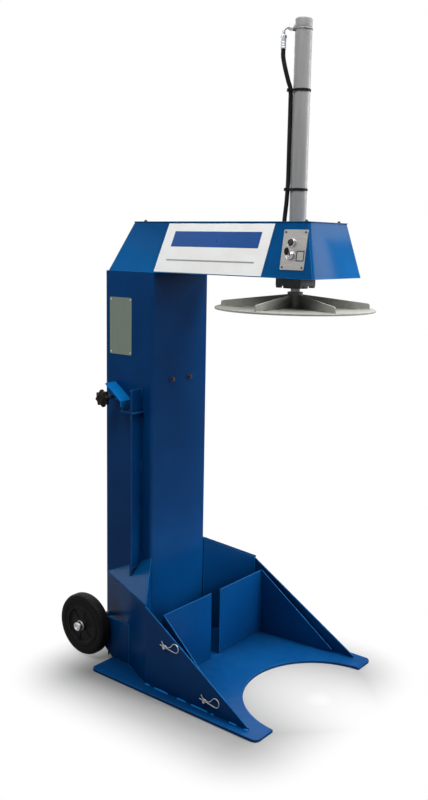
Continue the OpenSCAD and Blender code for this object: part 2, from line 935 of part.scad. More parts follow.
module tie_outline(grow, h) {
    hull() {
        translate(press_at) cylinder(h = h, r = tube_r + grow, $fn = 64);
        translate(beside(tie_hose_r, 0))
            cylinder(h = h, r = hose_r + 0.6 + grow, $fn = facets);
    }
}
tie_hose_r = 35;

module cable_ties() {
    color("black") placed() for (z = tie_z) translate([0, 0, z]) {
        difference() {
            tie_outline(tie_t, tie_w);
            translate([0, 0, -1]) tie_outline(tie_fit, tie_w + 2);
        }
        translate(beside(tie_hose_r + hose_r + 0.6 + tie_t / 2, -1))
            rotate([0, 0, 45]) translate([-5, 0, 0])
            cube([10, 7, tie_w + 2]);
    }
}

module hose_grommet() {
    color("black") placed() translate([hose_down[0], hose_down[1], 0])
        difference() {
            union() {
                translate([0, 0, cover_z]) cylinder(h = 2, r = hose_r + 6);
                translate([0, 0, hood_top])
                    cylinder(h = top_cover_t, r = hose_r + 3.5);
            }
            translate([0, 0, hood_top - 1])
                cylinder(h = 12, r = hose_r + 1.2);
        }
}

/* ---- platen ---- */

module platen_disc() {
    color("tan") at_press() translate([0, 0, platen_z])
        cylinder(h = platen_t, d = platen_d, $fn = 96);
}

module platen_ribs() {
    inner = hub_d / 2;
    outer = platen_d / 2 - rib_inset;
    color("gray") at_press() for (k = [0 : rib_count - 1])
        rotate([0, 0, rib_turn + k * 360 / rib_count])
            translate([0, rib_t / 2, disc_top]) rotate([90, 0, 0])
            linear_extrude(rib_t) polygon([[inner, 0], [inner, rib_in_h],
                [outer - 6, rib_out_h], [outer - 2, rib_out_h - 2],
                [outer, rib_out_h - 6], [outer, 0]]);
}

module platen_hub() {
    color("dimgray") at_press() difference() {
        translate([0, 0, disc_top])
            cylinder(h = rib_in_h + hub_ring_h, d = hub_d);
        translate([0, 0, disc_top - 1])
            cylinder(h = rib_in_h + hub_ring_h + 2, d = rod_d);
    }
}

/* ---- wheels ---- */

// Upright bracket that reaches back from the cheek and carries the axle
module wheel_bracket() {
    start = -col_back + (bracket_out - col_w / 2) * oblique_dy / oblique_dx;
    tail = axle_y + 26;
    rise = axle_z - 46;
    translate([-bracket_out, 0, 0]) difference() {
        rotate([90, 0, 90]) linear_extrude(bracket_t) polygon([
            [-start, base_t], [0, base_t], [rise, base_t + rise * 0.8],
            [tail - 8, base_t + rise * 0.8], [tail, base_t + rise * 0.8 + 8],
            [tail, bracket_top - 14], [tail - 14, bracket_top],
            [-start, bracket_top]]);
        translate([-1, axle_y, axle_z])
            rod_x(axle_d + 2 * run_gap, 0, bracket_t + 2);
    }
}

module wheel_brackets() {
    color("midnightblue") placed() both_sides() difference() {
        wheel_bracket();
        wall([-col_w / 2, col_back], [-cheek_half, -cheek_fold_y], 60)
            translate([-40, 0]) square([oblique_l + 80, cheek_web_h]);
    }
}

module wheel_axle() {
    color("silver") placed() translate([0, axle_y, axle_z])
        rod_x(axle_d, -axle_half, axle_half);
}

module axle_washers() {
    color("silver") placed() both_sides()
        translate([-bracket_out - part_gap - washer_t, axle_y, axle_z])
        difference() {
            rod_x(38, 0, washer_t);
            translate([-1, 0, 0])
                rod_x(axle_d + 2 * run_gap, 0, washer_t + 2);
        }
}

// Dished cap nuts that hold the wheels on the axle
module axle_caps() {
    inner = wheel_in + wheel_w + part_gap;
    color("gainsboro") placed() both_sides()
        translate([-inner, axle_y, axle_z]) rotate([0, -90, 0])
        difference() {
            union() {
                cylinder(h = 4, d = 36);
                translate([0, 0, 4]) cylinder(h = cap_len - 8, d = 33);
                translate([0, 0, cap_len - 4])
                    cylinder(h = 4, d1 = 33, d2 = 26);
            }
            translate([0, 0, -1]) cylinder(
                h = axle_half - inner + 1, d = axle_d);
            translate([0, 0, cap_len - 4]) cylinder(h = 5, d = 15);
        }
}

module wheel_tyre() {
    r = wheel_d / 2;
    s = 9;
    rotate([0, -90, 0]) rotate_extrude($fn = 96) difference() {
        union() {
            translate([hub_r, 0]) square([r - hub_r - s, wheel_w]);
            translate([r - s - 1, s]) square([s + 1, wheel_w - 2 * s]);
            for (z = [s, wheel_w - s]) translate([r - s, z]) circle(s);
        }
        for (z = [-1, wheel_w - 2]) translate([hub_r + 9, z])
            square([3, 3]);
    }
}

module wheel_hub() {
    rotate([0, -90, 0]) difference() {
        union() {
            translate([0, 0, 6]) cylinder(h = wheel_w - 12, r = hub_r);
            cylinder(h = wheel_w, r = boss_r);
            difference() {
                cylinder(h = wheel_w, r = hub_r);
                translate([0, 0, -1]) cylinder(h = wheel_w + 2, r = hub_r - 7);
            }
        }
        translate([0, 0, -1])
            cylinder(h = wheel_w + 2, d = axle_d + 2 * run_gap);
    }
}

module at_wheel() {
    placed() translate([-wheel_in, axle_y, axle_z]) children();
}

module left_wheel_tyre() { color("black") at_wheel() wheel_tyre(); }
module left_wheel_hub() { color("dimgray") at_wheel() wheel_hub(); }
module right_wheel_tyre() {
    color("black") mirror([1, 0, 0]) at_wheel() wheel_tyre();
}
module right_wheel_hub() {
    color("dimgray") mirror([1, 0, 0]) at_wheel() wheel_hub();
}

/* ---- bin guides ---- */

// Folded plate: a back wall and a wing whose top runs down to the front
module guide() {
    inner = [-guide_gap / 2, guide_back];
    corner = [-guide_half, guide_back];
    tip = [-guide_half - guide_flare, -guide_y - guide_wing];
    intersection() {
        linear_extrude(guide_h) polygon([inner, corner, tip,
            tip + guide_t * left_of(corner, tip),
            mitre(inner, corner, tip, guide_t),
            inner + guide_t * left_of(inner, corner)]);
        translate([-base_w, 0, 0]) rotate([90, 0, 90]) linear_extrude(base_w)
            polygon([[guide_back, base_t], [guide_back, guide_h],
            [-guide_y - 4, guide_h], [tip[1], base_t + wing_low],
            [tip[1], base_t]]);
    }
}
guide_back = -guide_y + guide_t;

module left_guide() { color("steelblue") placed() guide(); }
module right_guide() {
    color("steelblue") placed() mirror([1, 0, 0]) guide();
}

// Shouldered pins welded to the wing; they reach out through the cheek
module guide_pins() {
    color("silver") placed() both_sides() for (p = pin_at) difference() {
        outer = cheek_x(p[0]);
        translate([0, p[0], p[1]]) {
            rod_x(pin_d, -outer - pin_end, -guide_half);
            rod_x(shoulder_d, -outer + cheek_t + 2 * part_gap, -guide_half);
        }
        guide_zone();
        translate([-outer - clip_gap, p[0], p[1]])
            rotate([90 + clip_lean, 0, 0]) translate([0, 0, -20])
            cylinder(h = 40, d = wire_d + 4 * run_gap);
    }
}

// Everything inside the outer face of a wing
module guide_zone() {
    tip = [-guide_half - guide_flare, -guide_y - guide_wing];
    linear_extrude(guide_h) polygon([[-guide_half, guide_back], tip,
        [0, tip[1]], [0, guide_back]]);
}

// Distance of the cheek's outer face from the centre plane
function cheek_x(y) = cheek_half + cheek_flare * (-y - cheek_fold_y)
    / (cheek_front_y - cheek_fold_y);

// The spring clip in its own plane: u forward, v up; the pin is at 0, 0
function arc(c, r, a0, a1, n) = [for (i = [0 : n])
    let(a = a0 + (a1 - a0) * i / n) c + r * [cos(a), sin(a)]];
hug_r = pin_d / 2 + wire_d / 2 + 0.1;
clip_outline = concat([[-22, 0], [-8, 0], [18, 0], [38, 0]],
    arc([43, 15], 15, -90, 135, 14), [[24, 12.5], [18, 7], [13, 4.4],
    [9, 4.4]], arc([0, 0], hug_r, 45, 135, 6), [[-11, 9], [-17, 16]]);

module spring_clip(at) {
    x = -cheek_x(at[0]) - clip_gap;
    tube_along([for (p = clip_outline)
        let(u = p[0] * cos(clip_lean) + p[1] * sin(clip_lean),
            v = p[1] * cos(clip_lean) - p[0] * sin(clip_lean))
        [x, at[0] - u, at[1] + v]], wire_d / 2, 8);
}

module spring_clips() {
    color("gainsboro") placed() both_sides()
        for (p = pin_at) spring_clip(p);
}

/* ---- fin and latch ---- */

// The fin stands on the inclined filler plate
module side_fin() {
    inner = filler_z(col_w / 2, -fin_y + fin_t);
    outer = filler_z(fin_x, -fin_y + fin_t);
    color("mediumblue") placed() difference() {
        translate([0, -fin_y + fin_t, 0]) rotate([90, 0, 0])
            linear_extrude(fin_t) polygon([[-col_w / 2, inner],
                [-fin_x, outer], [-fin_x, fin_top - 4],
                [-fin_x + 4, fin_top], [-col_w / 2, fin_top]]);
        filler_plate();
    }
}

module latch_shelf() {
    color("mediumblue") placed() difference() {
        union() {
            translate([-fin_x - 1, -fin_y - 12, shelf_z - shelf_t])
                cube([fin_out + 1, fin_y + 22, shelf_t]);
            translate([-fin_x + 8, 3, shelf_z]) cylinder(h = 14, d = 10);
        }
        translate([-fin_x - 2, -fin_y, shelf_z - shelf_t - 1])
            cube([fin_out + 3, fin_t, shelf_t + 2]);
    }
}

// Tilted plate with a tongue in front and a lug round the pivot stud
module latch_plate() {
    top = [82, 1012];
    low = [4, 955];
    tongue = [4, shelf_z + 14 + part_gap];
    run = top - low;
    normal = latch_t * unit([-run[1], run[0]]);
    color("deepskyblue") placed() difference() {
        union() {
            translate([-latch_in - latch_w, 0, 0]) rotate([90, 0, 90])
                linear_extrude(latch_w) polygon([top, low, tongue,
                    tongue + [latch_t, 0], low + [latch_t, -latch_t * 0.6],
                    top - normal]);
            translate([-latch_in - latch_t, 0, 0]) rotate([90, 0, 90])
                linear_extrude(latch_t) {
                translate([pivot_y, pivot_z]) circle(15);
                polygon([top - normal * 0.5, low, low + [0, -8],
                    [pivot_y, pivot_z - 15], [pivot_y + 15, pivot_z],
                    [pivot_y + 14, pivot_z + 20]]);
            }
        }
        translate([-latch_in - latch_t - 1, pivot_y, pivot_z])
            rod_x(stud_d + 2 * run_gap, 0, latch_t + 2);
    }
}

// Stud welded into the column, with the sleeve that the knob presses on
module latch_stud() {
    color("silver") placed() translate([0, pivot_y, pivot_z]) {
        rod_x(stud_d, -knob_in - knob_t + 6, -col_w / 2 + 12);
        rod_x(20, -col_w / 2 + col_t, -col_w / 2 + 12);
        rod_x(sleeve_d, -knob_in + 10 + part_gap, -latch_in - latch_t
            - part_gap);
    }
}

module star_knob() {
    color("black") placed() translate([-knob_in, pivot_y, pivot_z])
        rotate([0, -90, 0]) difference() {
        union() {
            linear_extrude(knob_t - 4) knob_outline();
            translate([0, 0, knob_t - 5]) cylinder(h = 5, d = knob_d - 24);
            translate([0, 0, -10]) cylinder(h = 11, d = 15);
        }
        translate([0, 0, -11])
            cylinder(h = knob_t + 7, d = stud_d + 2 * run_gap);
    }
}
knob_lobes = 8;
lobe_r = 8;

module knob_outline() {
    circle(knob_d / 2 - 6);
    for (k = [0 : knob_lobes - 1]) rotate(k * 360 / knob_lobes)
        translate([knob_d / 2 - lobe_r, 0]) circle(lobe_r);
}

/* ---- plates and inner pieces ---- */

module data_plate() {
    color("darkseagreen") placed() {
        translate([-col_w / 2 - 1, 3, 1113]) cube([1, 108, 204]);
        for (y = [10, 104], z = [1121, 1309])
            translate([-col_w / 2 - 2, y, z]) rod_x(5, 0, 1.5);
    }
}

// Oil tank whose bottom flange spans the column
module oil_tank() {
    color("slategray") placed() {
        translate([0, 0, tank_z - tank_flange_t])
            linear_extrude(tank_flange_t) intersection() {
                column_outline(col_t);
                translate([-col_w, col_front]) square([2 * col_w,
                    col_back - cover_t - col_t - col_front]);
            }
        translate([-tank[0] / 2, tank_y - tank[1] / 2, tank_z]) cube(tank);
    }
}

// Pump flange, motor and fan cover stand on the tank
module pump_motor() {
    color("darkslategray") placed() translate([motor_x, tank_y, tank_top]) {
        cylinder(h = 25, d = 90);
        translate([0, 0, 25]) cylinder(h = motor_h, d = motor_d);
        translate([0, 0, 25 + motor_h]) cylinder(h = 8, d = 100);
    }
}

module valve_block() {
    color("silver") placed() translate([block_x - block[0] / 2,
        hose_y - block[1] / 2, tank_top]) cube(block);
}

// Held to the front of the column by the two front screws
module control_box() {
    color("lightgray") placed() difference() {
        translate([-90, col_front + col_t, 930]) cube([180, 90, 200]);
        for (x = [-1, 1]) translate([x * screw_half, col_front, screw_z])
            rotate([-90, 0, 0])
            cylinder(h = col_t + screw_bite, d = front_screw_d);
    }
}

// Empty gland where the supply cable would enter the rear cover
module cable_gland() {
    color("black") placed() translate([inlet_x, col_back, inlet_z])
        rotate([-90, 0, 0]) difference() {
        union() {
            translate([0, 0, -22]) cylinder(h = 22, d = inlet_d);
            translate([0, 0, -11]) cylinder(h = 8, d = 32, $fn = 6);
            cylinder(h = 8, d = 32, $fn = 6);
            translate([0, 0, 8]) cylinder(h = 9, d1 = 28, d2 = 22);
        }
        translate([0, 0, -23]) cylinder(h = 41, d = 12);
    }
}

base_plate();
left_side_sheet();
right_side_sheet();
front_webs();
filler_plates();
column_shell();
rear_cover();
rear_cover_screws();
column_front_screws();
head_floor();
head_beam();
head_hood();
head_top_cover();
top_cover_screws();
side_label_panel();
control_plate();
control_plate_screws();
button_housing();
push_button();
key_switch_housing();
switch_key();
switch_label();
cylinder_tube();
cylinder_cap();
cylinder_flange();
flange_bolts();
rod_gland();
piston_and_rod();
piston_seals();
hose_fittings();
pressure_hose();
return_hose();
cable_ties();
hose_grommet();
platen_disc();
platen_ribs();
platen_hub();
wheel_brackets();
wheel_axle();
axle_washers();
axle_caps();
left_wheel_tyre();
left_wheel_hub();
right_wheel_tyre();
right_wheel_hub();
left_guide();
right_guide();
guide_pins();
spring_clips();
side_fin();
latch_shelf();
latch_plate();
latch_stud();
star_knob();
data_plate();
oil_tank();
pump_motor();
valve_block();
control_box();
cable_gland();
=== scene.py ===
# %% [markdown]
# # Dressing a mobile waste compactor
#
# The machine presses rubbish down inside a wheeled bin. A folded steel column
# stands at the back of a floor plate and carries a hood. A long hydraulic
# cylinder stands on the hood and pushes a round ribbed platen down.
# The solid parts come ready made and in metres. This lesson gives them paint,
# bare metal and rubber, and models what plain solids leave out: broken edges,
# weld beads, hoses, fittings, wheels, screws and clips.

# %% Load the machine
import json
import math
import random

import bmesh
import bpy
from mathutils import Matrix, Vector


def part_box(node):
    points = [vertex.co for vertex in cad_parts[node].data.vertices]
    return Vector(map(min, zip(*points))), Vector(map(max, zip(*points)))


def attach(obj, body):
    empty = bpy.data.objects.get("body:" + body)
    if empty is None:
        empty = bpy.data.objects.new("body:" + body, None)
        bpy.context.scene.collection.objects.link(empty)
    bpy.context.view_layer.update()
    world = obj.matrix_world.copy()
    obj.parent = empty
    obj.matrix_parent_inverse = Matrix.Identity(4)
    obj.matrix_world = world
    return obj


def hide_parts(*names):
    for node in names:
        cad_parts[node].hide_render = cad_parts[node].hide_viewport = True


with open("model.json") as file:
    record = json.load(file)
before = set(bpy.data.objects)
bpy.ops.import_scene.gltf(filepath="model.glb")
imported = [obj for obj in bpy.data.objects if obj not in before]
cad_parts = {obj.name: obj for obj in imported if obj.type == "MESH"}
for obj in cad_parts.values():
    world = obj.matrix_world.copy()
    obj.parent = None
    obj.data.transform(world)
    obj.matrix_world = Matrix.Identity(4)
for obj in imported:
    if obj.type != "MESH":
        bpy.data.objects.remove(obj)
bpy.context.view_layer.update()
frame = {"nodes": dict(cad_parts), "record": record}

MM = 0.001
body_of = {node: body for body, nodes in
           frame["record"]["behaviour"]["bodies"].items() for node in nodes}
slot_of = {part["node"]: part["material_slot"]
           for part in frame["record"]["subparts"]}

# %% [markdown]
# ## The camera
#
# The camera stands about three metres away, at about the height of a person's
# eyes, so the machine looks as tall as it is. Three directions make the
# camera's matrix: across the view, up the view, and back towards the viewer.
# Building the matrix this way lets the camera lean by a degree, as a camera
# on a tripod does, without any guessing with Euler angles.

# %% Camera
heading, dip, lean = (math.radians(angle) for angle in (51.6, -9.29, 1.08))
ahead = Vector((math.sin(heading) * math.cos(dip),
                math.cos(heading) * math.cos(dip), math.sin(dip)))
level = ahead.cross(Vector((0, 0, 1))).normalized()
upright = level.cross(ahead)
across = math.cos(lean) * level + math.sin(lean) * upright
over = math.cos(lean) * upright - math.sin(lean) * level
lens = bpy.data.cameras.new("camera")
lens.sensor_width = 36
lens.lens = 39.665
lens.shift_x, lens.shift_y = -0.00725, -0.01575
camera = bpy.data.objects.new("camera", lens)
bpy.context.scene.collection.objects.link(camera)
camera.matrix_world = (Matrix.Translation((-2.389, -1.86475, 1.513))
                       @ Matrix((across, over, -ahead)).transposed().to_4x4())
bpy.context.scene.camera = camera
bpy.context.scene.view_settings.view_transform = "Standard"
print("camera looks along", [round(v, 3) for v in ahead])

# %% [markdown]
# ## Wiring nodes
#
# The world, the floor and every finish are trees of shader nodes. Wiring
# them by hand takes many lines, so a small class keeps the tree at hand, adds
# a node in one call and links whatever comes out of another node.

# %% A class that wires nodes
class Wiring:
    """The node tree of a material or a world, and short steps to fill it"""

    def __init__(self, owner):
        owner.use_nodes = True
        self.tree = owner.node_tree

    def add(self, kind, inputs=(), **settings):
        made = self.tree.nodes.new("ShaderNode" + kind)
        for key, value in settings.items():
            setattr(made, key, value)
        for key, value in dict(inputs).items():
            if isinstance(value, bpy.types.NodeSocket):
                self.tree.links.new(value, made.inputs[key])
            else:
                made.inputs[key].default_value = value
        return made

    def calc(self, operation, a, b):
        return self.add("Math", {0: a, 1: b}, operation=operation).outputs[0]

    def vector(self, operation, a, b=(0, 0, 0)):
        made = self.add("VectorMath", {0: a, 1: b}, operation=operation)
        single = operation in ("LENGTH", "DISTANCE", "DOT_PRODUCT")
        return made.outputs["Value" if single else "Vector"]

    def place(self):
        return self.add("TexCoord").outputs["Object"]

    def mix(self, share, a, b):
        colours = [c if isinstance(c, bpy.types.NodeSocket) else (*c, 1)
                   for c in (a, b)]
        return self.add("Mix", {0: share, 6: colours[0], 7: colours[1]},
                        data_type="RGBA").outputs[2]

    def seen(self):
        """1 for what is looked at: straight, mirrored or through glass"""
        path = self.add("LightPath").outputs
        looked_at = path["Is Camera Ray"]
        for ray in ("Is Glossy Ray", "Is Transmission Ray"):
            looked_at = self.calc("MAXIMUM", looked_at, path[ray])
        return looked_at


print("nodes can be wired")

# %% [markdown]
# ## Mixing a finish
#
# Every finish in this lesson is a Principled shader with noise wired into
# its colour, roughness and bump. Noise is read in object coordinates, which
# are metres here, so a pattern keeps its real size and moves with its part.
# Two more steps read the shape: one finds edges, which are lightened as rubbed
# wear and, on the enamel, also as a painted highlight, and one finds deep
# corners, which are darkened as painted shade.

# %% A class that mixes finishes
finish_of = {}


class Recipe(Wiring):
    """One finish: its material, its node tree and its shader"""

    def __init__(self, name, sockets):
        self.material = bpy.data.materials.new(name)
        super().__init__(self.material)
        finish_of[name] = self.material
        self.shader = self.tree.nodes["Principled BSDF"]
        for socket, value in sockets.items():
            self.shader.inputs[socket].default_value = value

    def noise(self, scale, detail=3, rough=0.5, stretch=None):
        place = self.place()
        if stretch:
            place = self.vector("MULTIPLY", place, stretch)
        return self.add("TexNoise", {"Vector": place, "Scale": scale,
                                     "Detail": detail,
                                     "Roughness": rough}).outputs["Fac"]

    def remap(self, value, low, high, to_low=0.0, to_high=1.0):
        return self.add("MapRange", {
            "Value": value, "From Min": low, "From Max": high,
            "To Min": to_low, "To Max": to_high}).outputs["Result"]

    def edges(self, radius):
        """1 along edges and 0 on open faces, from a rounded normal"""
        soft = self.add("Bevel", {"Radius": radius}, samples=4).outputs[0]
        flat = self.add("NewGeometry").outputs["Normal"]
        return self.remap(self.vector("DOT_PRODUCT", soft, flat), 0.985, 0.80)

    def corners(self, reach, low, high):
        """1 deep in a corner and 0 in the open: a mask for painted shade"""
        air = self.add("AmbientOcclusion", {"Distance": reach},
                       samples=6).outputs["AO"]
        return self.remap(air, low, high, 1.0, 0.0)

    def facing_up(self):
        normal = self.add("NewGeometry").outputs["Normal"]
        height = self.add("SeparateXYZ", {0: normal}).outputs["Z"]
        return self.remap(height, 0.35, 1.0)

    def bump(self, height, distance, under=None):
        inputs = {"Height": height, "Distance": distance}
        if under:
            inputs["Normal"] = under
        return self.add("Bump", inputs).outputs["Normal"]

    def feed(self, **sockets):
        for socket, value in sockets.items():
            self.tree.links.new(
                value, self.shader.inputs[socket.replace("_", " ")])


print("finishes can be mixed")

# %% [markdown]
# ## The floor and the light
#
# The machine stands in a plain white studio. The world is white to look at,
# and a weak even light otherwise. The floor is a large sheet that works the
# same way: it glows white where it is looked at, but throws only a little
# light back, so that it doesn't fill the machine's shaded sides.

# %% Background
AMBIENT = 0.03
world = bpy.data.worlds.new("studio")
bpy.context.scene.world = world
sky = Wiring(world)
white = sky.tree.nodes["Background"]
white.inputs["Color"].default_value = (1, 1, 1, 1)
weak = sky.add("Background", {"Color": (0.9, 0.95, 1, 1),
                              "Strength": AMBIENT})
either = sky.add("MixShader", {0: sky.seen(), 1: weak.outputs[0],
                               2: white.outputs[0]})
sky.tree.links.new(either.outputs[0],
                   sky.tree.nodes["World Output"].inputs[0])
print("world gives", AMBIENT, "of even light")

# %% Floor sheet
FLOOR_HALF = 14
sheet = bmesh.new()
bmesh.ops.create_grid(sheet, x_segments=24, y_segments=24, size=FLOOR_HALF)
floor_mesh = bpy.data.meshes.new("floor")
sheet.to_mesh(floor_mesh)
sheet.free()
floor = bpy.data.objects.new("floor", floor_mesh)
bpy.context.scene.collection.objects.link(floor)
print("floor is", 2 * FLOOR_HALF, "m wide")

# %% [markdown]
# ## The soft shade round the plate
#
# Only close to the machine does the floor stay a dark matt grey, a painted
# shade round the plate on which the lamps' shadow also shows. The grey area is
# a rectangle a little smaller than the floor plate, and it fades to a white
# glow over 0.3 m. The plate's round notch and an oval bay in front of it glow
# white again, painted light for the light that falls in there. Three chains of
# nodes give how far a place lies outside the rectangle, inside the notch and
# inside the bay, and the largest of the three decides.

# %% Shade on the floor
NOTCH_RADIUS, NOTCH_AHEAD = 0.269, 0.015
BAY_RADIUS, BAY_AHEAD, BAY_SQUEEZE = 0.40, 0.515, 0.35
FADE_START, FADE_END = -0.01, 0.30
BACK_GREY, PAINTED_SHADE_GREY = (0.22, 0.23, 0.25), (0.24, 0.24, 0.24)
plate_low, plate_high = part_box("base_plate")
shade_low = plate_low + Vector((-0.005, 0.07, 0))
shade_high = plate_high - Vector((0.15, 0.02, 0))
centre = (shade_low + shade_high) / 2
half = (shade_high - shade_low) / 2
paper = bpy.data.materials.new("studio_floor")
card = Wiring(paper)
card.tree.nodes.clear()
place = card.place()
outside = card.vector("ABSOLUTE", card.vector(
    "SUBTRACT", place, (centre.x, centre.y, 0)))
outside = card.vector("SUBTRACT", outside, (half.x, half.y, 0))
outside = card.vector("LENGTH", card.vector("MAXIMUM", outside))
in_notch = card.calc("SUBTRACT", NOTCH_RADIUS, card.vector(
    "DISTANCE", place, (0, plate_low.y - NOTCH_AHEAD, 0)))
from_bay = card.vector("SUBTRACT", place, (0, plate_low.y - BAY_AHEAD, 0))
in_bay = card.calc("SUBTRACT", BAY_RADIUS, card.vector(
    "LENGTH", card.vector("MULTIPLY", from_bay, (1, BAY_SQUEEZE, 1))))
# painted light: past the fade the floor glows white instead of being lit
painted_light_reach = card.calc("MAXIMUM", outside, card.calc("MAXIMUM", in_notch, in_bay))
fade = card.add("MapRange", {"Value": painted_light_reach, "From Min": FADE_START,
                             "From Max": FADE_END},
                interpolation_type="SMOOTHSTEP").outputs[0]
looked_at = card.seen()
# painted shade: a dark matt grey close to the plate
matt = card.add("BsdfDiffuse",
                {"Color": card.mix(looked_at, BACK_GREY, PAINTED_SHADE_GREY)})
glow = card.add("Emission")
blend = card.add("MixShader", {0: card.calc("MULTIPLY", fade, looked_at),
                               1: matt.outputs[0], 2: glow.outputs[0]})
card.add("OutputMaterial", {0: blend.outputs[0]})
floor_mesh.materials.append(paper)
print("shade fades over", round(FADE_END - FADE_START, 2), "m")

# %% [markdown]
# ## Softboxes
#
# Eight area lamps light the machine, as in a small studio: a key light and
# a large overhead one in front, one on each side, a narrow one for the foot
# of the machine, and three behind so that the rear isn't lost. An
# area lamp of P watts gives a level of P / (pi² · d²) at distance d, which
# helps to set plain levels. Far and large lamps light a tall machine evenly.
# A spread below 180 degrees narrows the lamp's beam, as a grid on it does.

# %% Softboxes
def softbox(name, place, aim, size, watts, spread=180):
    lamp = bpy.data.lights.new(name, "AREA")
    lamp.spread = math.radians(spread)
    lamp.shape = "RECTANGLE"
    lamp.size, lamp.size_y = size
    lamp.energy = watts
    stand = bpy.data.objects.new(name, lamp)
    stand.location = place
    aim_at = Vector(aim) - Vector(place)
    stand.rotation_euler = aim_at.to_track_quat("-Z", "Y").to_euler()
    bpy.context.scene.collection.objects.link(stand)
    level = watts / (math.pi ** 2 * aim_at.length_squared)
    print(name, "gives a level of", round(level, 2))


softbox("key", (1.6, -3.3, 5.4), (0, -0.2, 1.0), (2.2, 2.2), 215)
softbox("overhead", (0, -2.9, 6.9), (0, -0.3, 0.3), (3.2, 3.2), 215)
softbox("right", (2.3, -1.7, 2.15), (0, -0.3, 1.4), (0.9, 1.2), 40)
softbox("left", (-1.9, -0.3, 4.1), (-0.1, 0, 1.4), (1.7, 1.7), 96)
softbox("low front", (0.5, -2.8, 1.75), (0, 0, 0.12), (1.2, 0.8), 3.2, 28)
softbox("rear left", (-2.6, 3.2, 3.4), (0, 0, 0.8), (2.0, 2.0), 14)
softbox("rear right", (2.8, 2.4, 3.4), (0, 0, 0.8), (1.8, 1.8), 50)
softbox("behind", (0.5, 3.9, 1.8), (-0.1, 0.2, 0.8), (2.0, 1.8), 36)

# %% [markdown]
# ## Blue enamel
#
# The sheets are sprayed with a glossy blue enamel. Real enamel isn't one
# colour: the coat is thicker in places and dust settles on faces that look up.
# Edges are made lighter, partly as rubbed wear and partly as a painted
# highlight, and deep corners are darkened with painted shade. The gloss has
# the fine ripple that painters call orange peel, and thin sheet is never quite
# flat, so there is a slow wave under it. A coat layer gives the sharp part
# of the gloss.

# %% Enamel
EDGE_WEAR_AND_HIGHLIGHT, CHIP_BLUE, DUST_BLUE = ((0.010, 0.220, 0.500), (0.02, 0.10, 0.20),
                                   (0.03, 0.17, 0.32))


def enamel(name, deep, light, gloss=0.13):
    r = Recipe(name, {"Specular IOR Level": 0.0, "Coat Weight": gloss,
                      "Coat Roughness": 0.24})
    patches = r.noise(2.4, 3, 0.6)
    fine = r.noise(38, 5, 0.65)
    tone = r.mix(r.remap(patches, 0.36, 0.64), deep, light)
    tone = r.mix(r.calc("MULTIPLY", r.remap(fine, 0.30, 0.80), 0.16),
                 tone, [0.65 * c for c in deep])
    dust = r.calc("MULTIPLY", r.facing_up(), r.remap(fine, 0.35, 0.8))
    tone = r.mix(r.calc("MULTIPLY", dust, 0.12), tone, DUST_BLUE)
    # painted shade: deep corners are darkened towards a quarter of the deep
    # blue
    tone = r.mix(r.calc("MULTIPLY", r.corners(0.25, 0.25, 0.72), 0.75),
                 tone, [0.25 * c for c in deep])
    # edges lightened: partly rubbed wear, partly a painted highlight along the
    # edges
    rim = r.edges(2.6 * MM)
    lighter_edges = r.calc("MULTIPLY", rim, r.remap(r.noise(22, 4, 0.7),
                                             0.38, 0.62, 0.45, 1.0))
    tone = r.mix(lighter_edges, tone, EDGE_WEAR_AND_HIGHLIGHT)
    chip = r.calc("GREATER_THAN", r.calc("MULTIPLY", rim,
                                         r.noise(120, 2, 0.7)), 0.63)
    tone = r.mix(r.calc("MULTIPLY", chip, 0.5), tone, CHIP_BLUE)
    polish = r.calc("ADD", r.remap(fine, 0.3, 0.7, 0.24, 0.38),
                    r.calc("MULTIPLY", dust, 0.15))
    wave = r.bump(r.noise(7, 2, 0.4), 0.6 * MM)
    peel = r.bump(r.noise(330, 2, 0.5), 0.05 * MM, wave)
    r.feed(Base_Color=tone, Roughness=polish, Normal=peel, Coat_Normal=peel)


enamel("paint_blue", (0.0010, 0.035, 0.136), (0.0016, 0.049, 0.178))
# a lighter copy of the same blue: painted light for the hood and the filler
# plates
enamel("paint_blue_head", (0.0006, 0.059, 0.192), (0.0010, 0.081, 0.258),
       gloss=0.105)
# a much lighter copy of the same blue: painted light for the lever and a
# painted highlight for the foot beads
enamel("paint_blue_lit", (0.0020, 0.155, 0.500), (0.0040, 0.200, 0.600))
print("three blues mixed")

# %% [markdown]
# ## Grey enamel and dark parts
#
# The cylinder has a satin grey coat with a few runs down its length: noise
# that is stretched along Z makes those. The flange, gland and bolts under
# the hood are painted nearly black and are a little greasy.

# %% Grey and dark coats
def satin(name, deep, light, rough, run=(1, 1, 0.08), gloss=0.1):
    r = Recipe(name, {"Specular IOR Level": 0.35, "Coat Weight": gloss,
                      "Coat Roughness": 0.2})
    runs = r.noise(60, 4, 0.6, run)
    fine = r.noise(90, 5, 0.6)
    tone = r.mix(r.remap(runs, 0.32, 0.68), deep, light)
    lighter_edges = r.calc("MULTIPLY", r.edges(1.5 * MM),
                    r.remap(fine, 0.4, 0.65, 0.1, 0.7))
    tone = r.mix(lighter_edges, tone, [min(1, 1.6 * c + 0.02) for c in light])
    grime = r.calc("MULTIPLY", r.remap(r.noise(11, 5, 0.7), 0.55, 0.8), 0.3)
    tone = r.mix(grime, tone, [0.5 * c for c in deep])
    polish = r.remap(fine, 0.3, 0.7, rough - 0.07, rough + 0.1)
    r.feed(Base_Color=tone, Roughness=polish,
           Normal=r.bump(r.noise(420, 3, 0.5), 0.04 * MM))


satin("paint_grey", (0.226, 0.228, 0.223), (0.275, 0.277, 0.270), 0.42)
satin("paint_dark", (0.009, 0.012, 0.020), (0.015, 0.020, 0.031), 0.42,
      (1, 1, 1), 0.03)
satin("machine_grey", (0.16, 0.17, 0.18), (0.21, 0.22, 0.23), 0.5, (1, 1, 1))
print("grey and dark coats mixed")
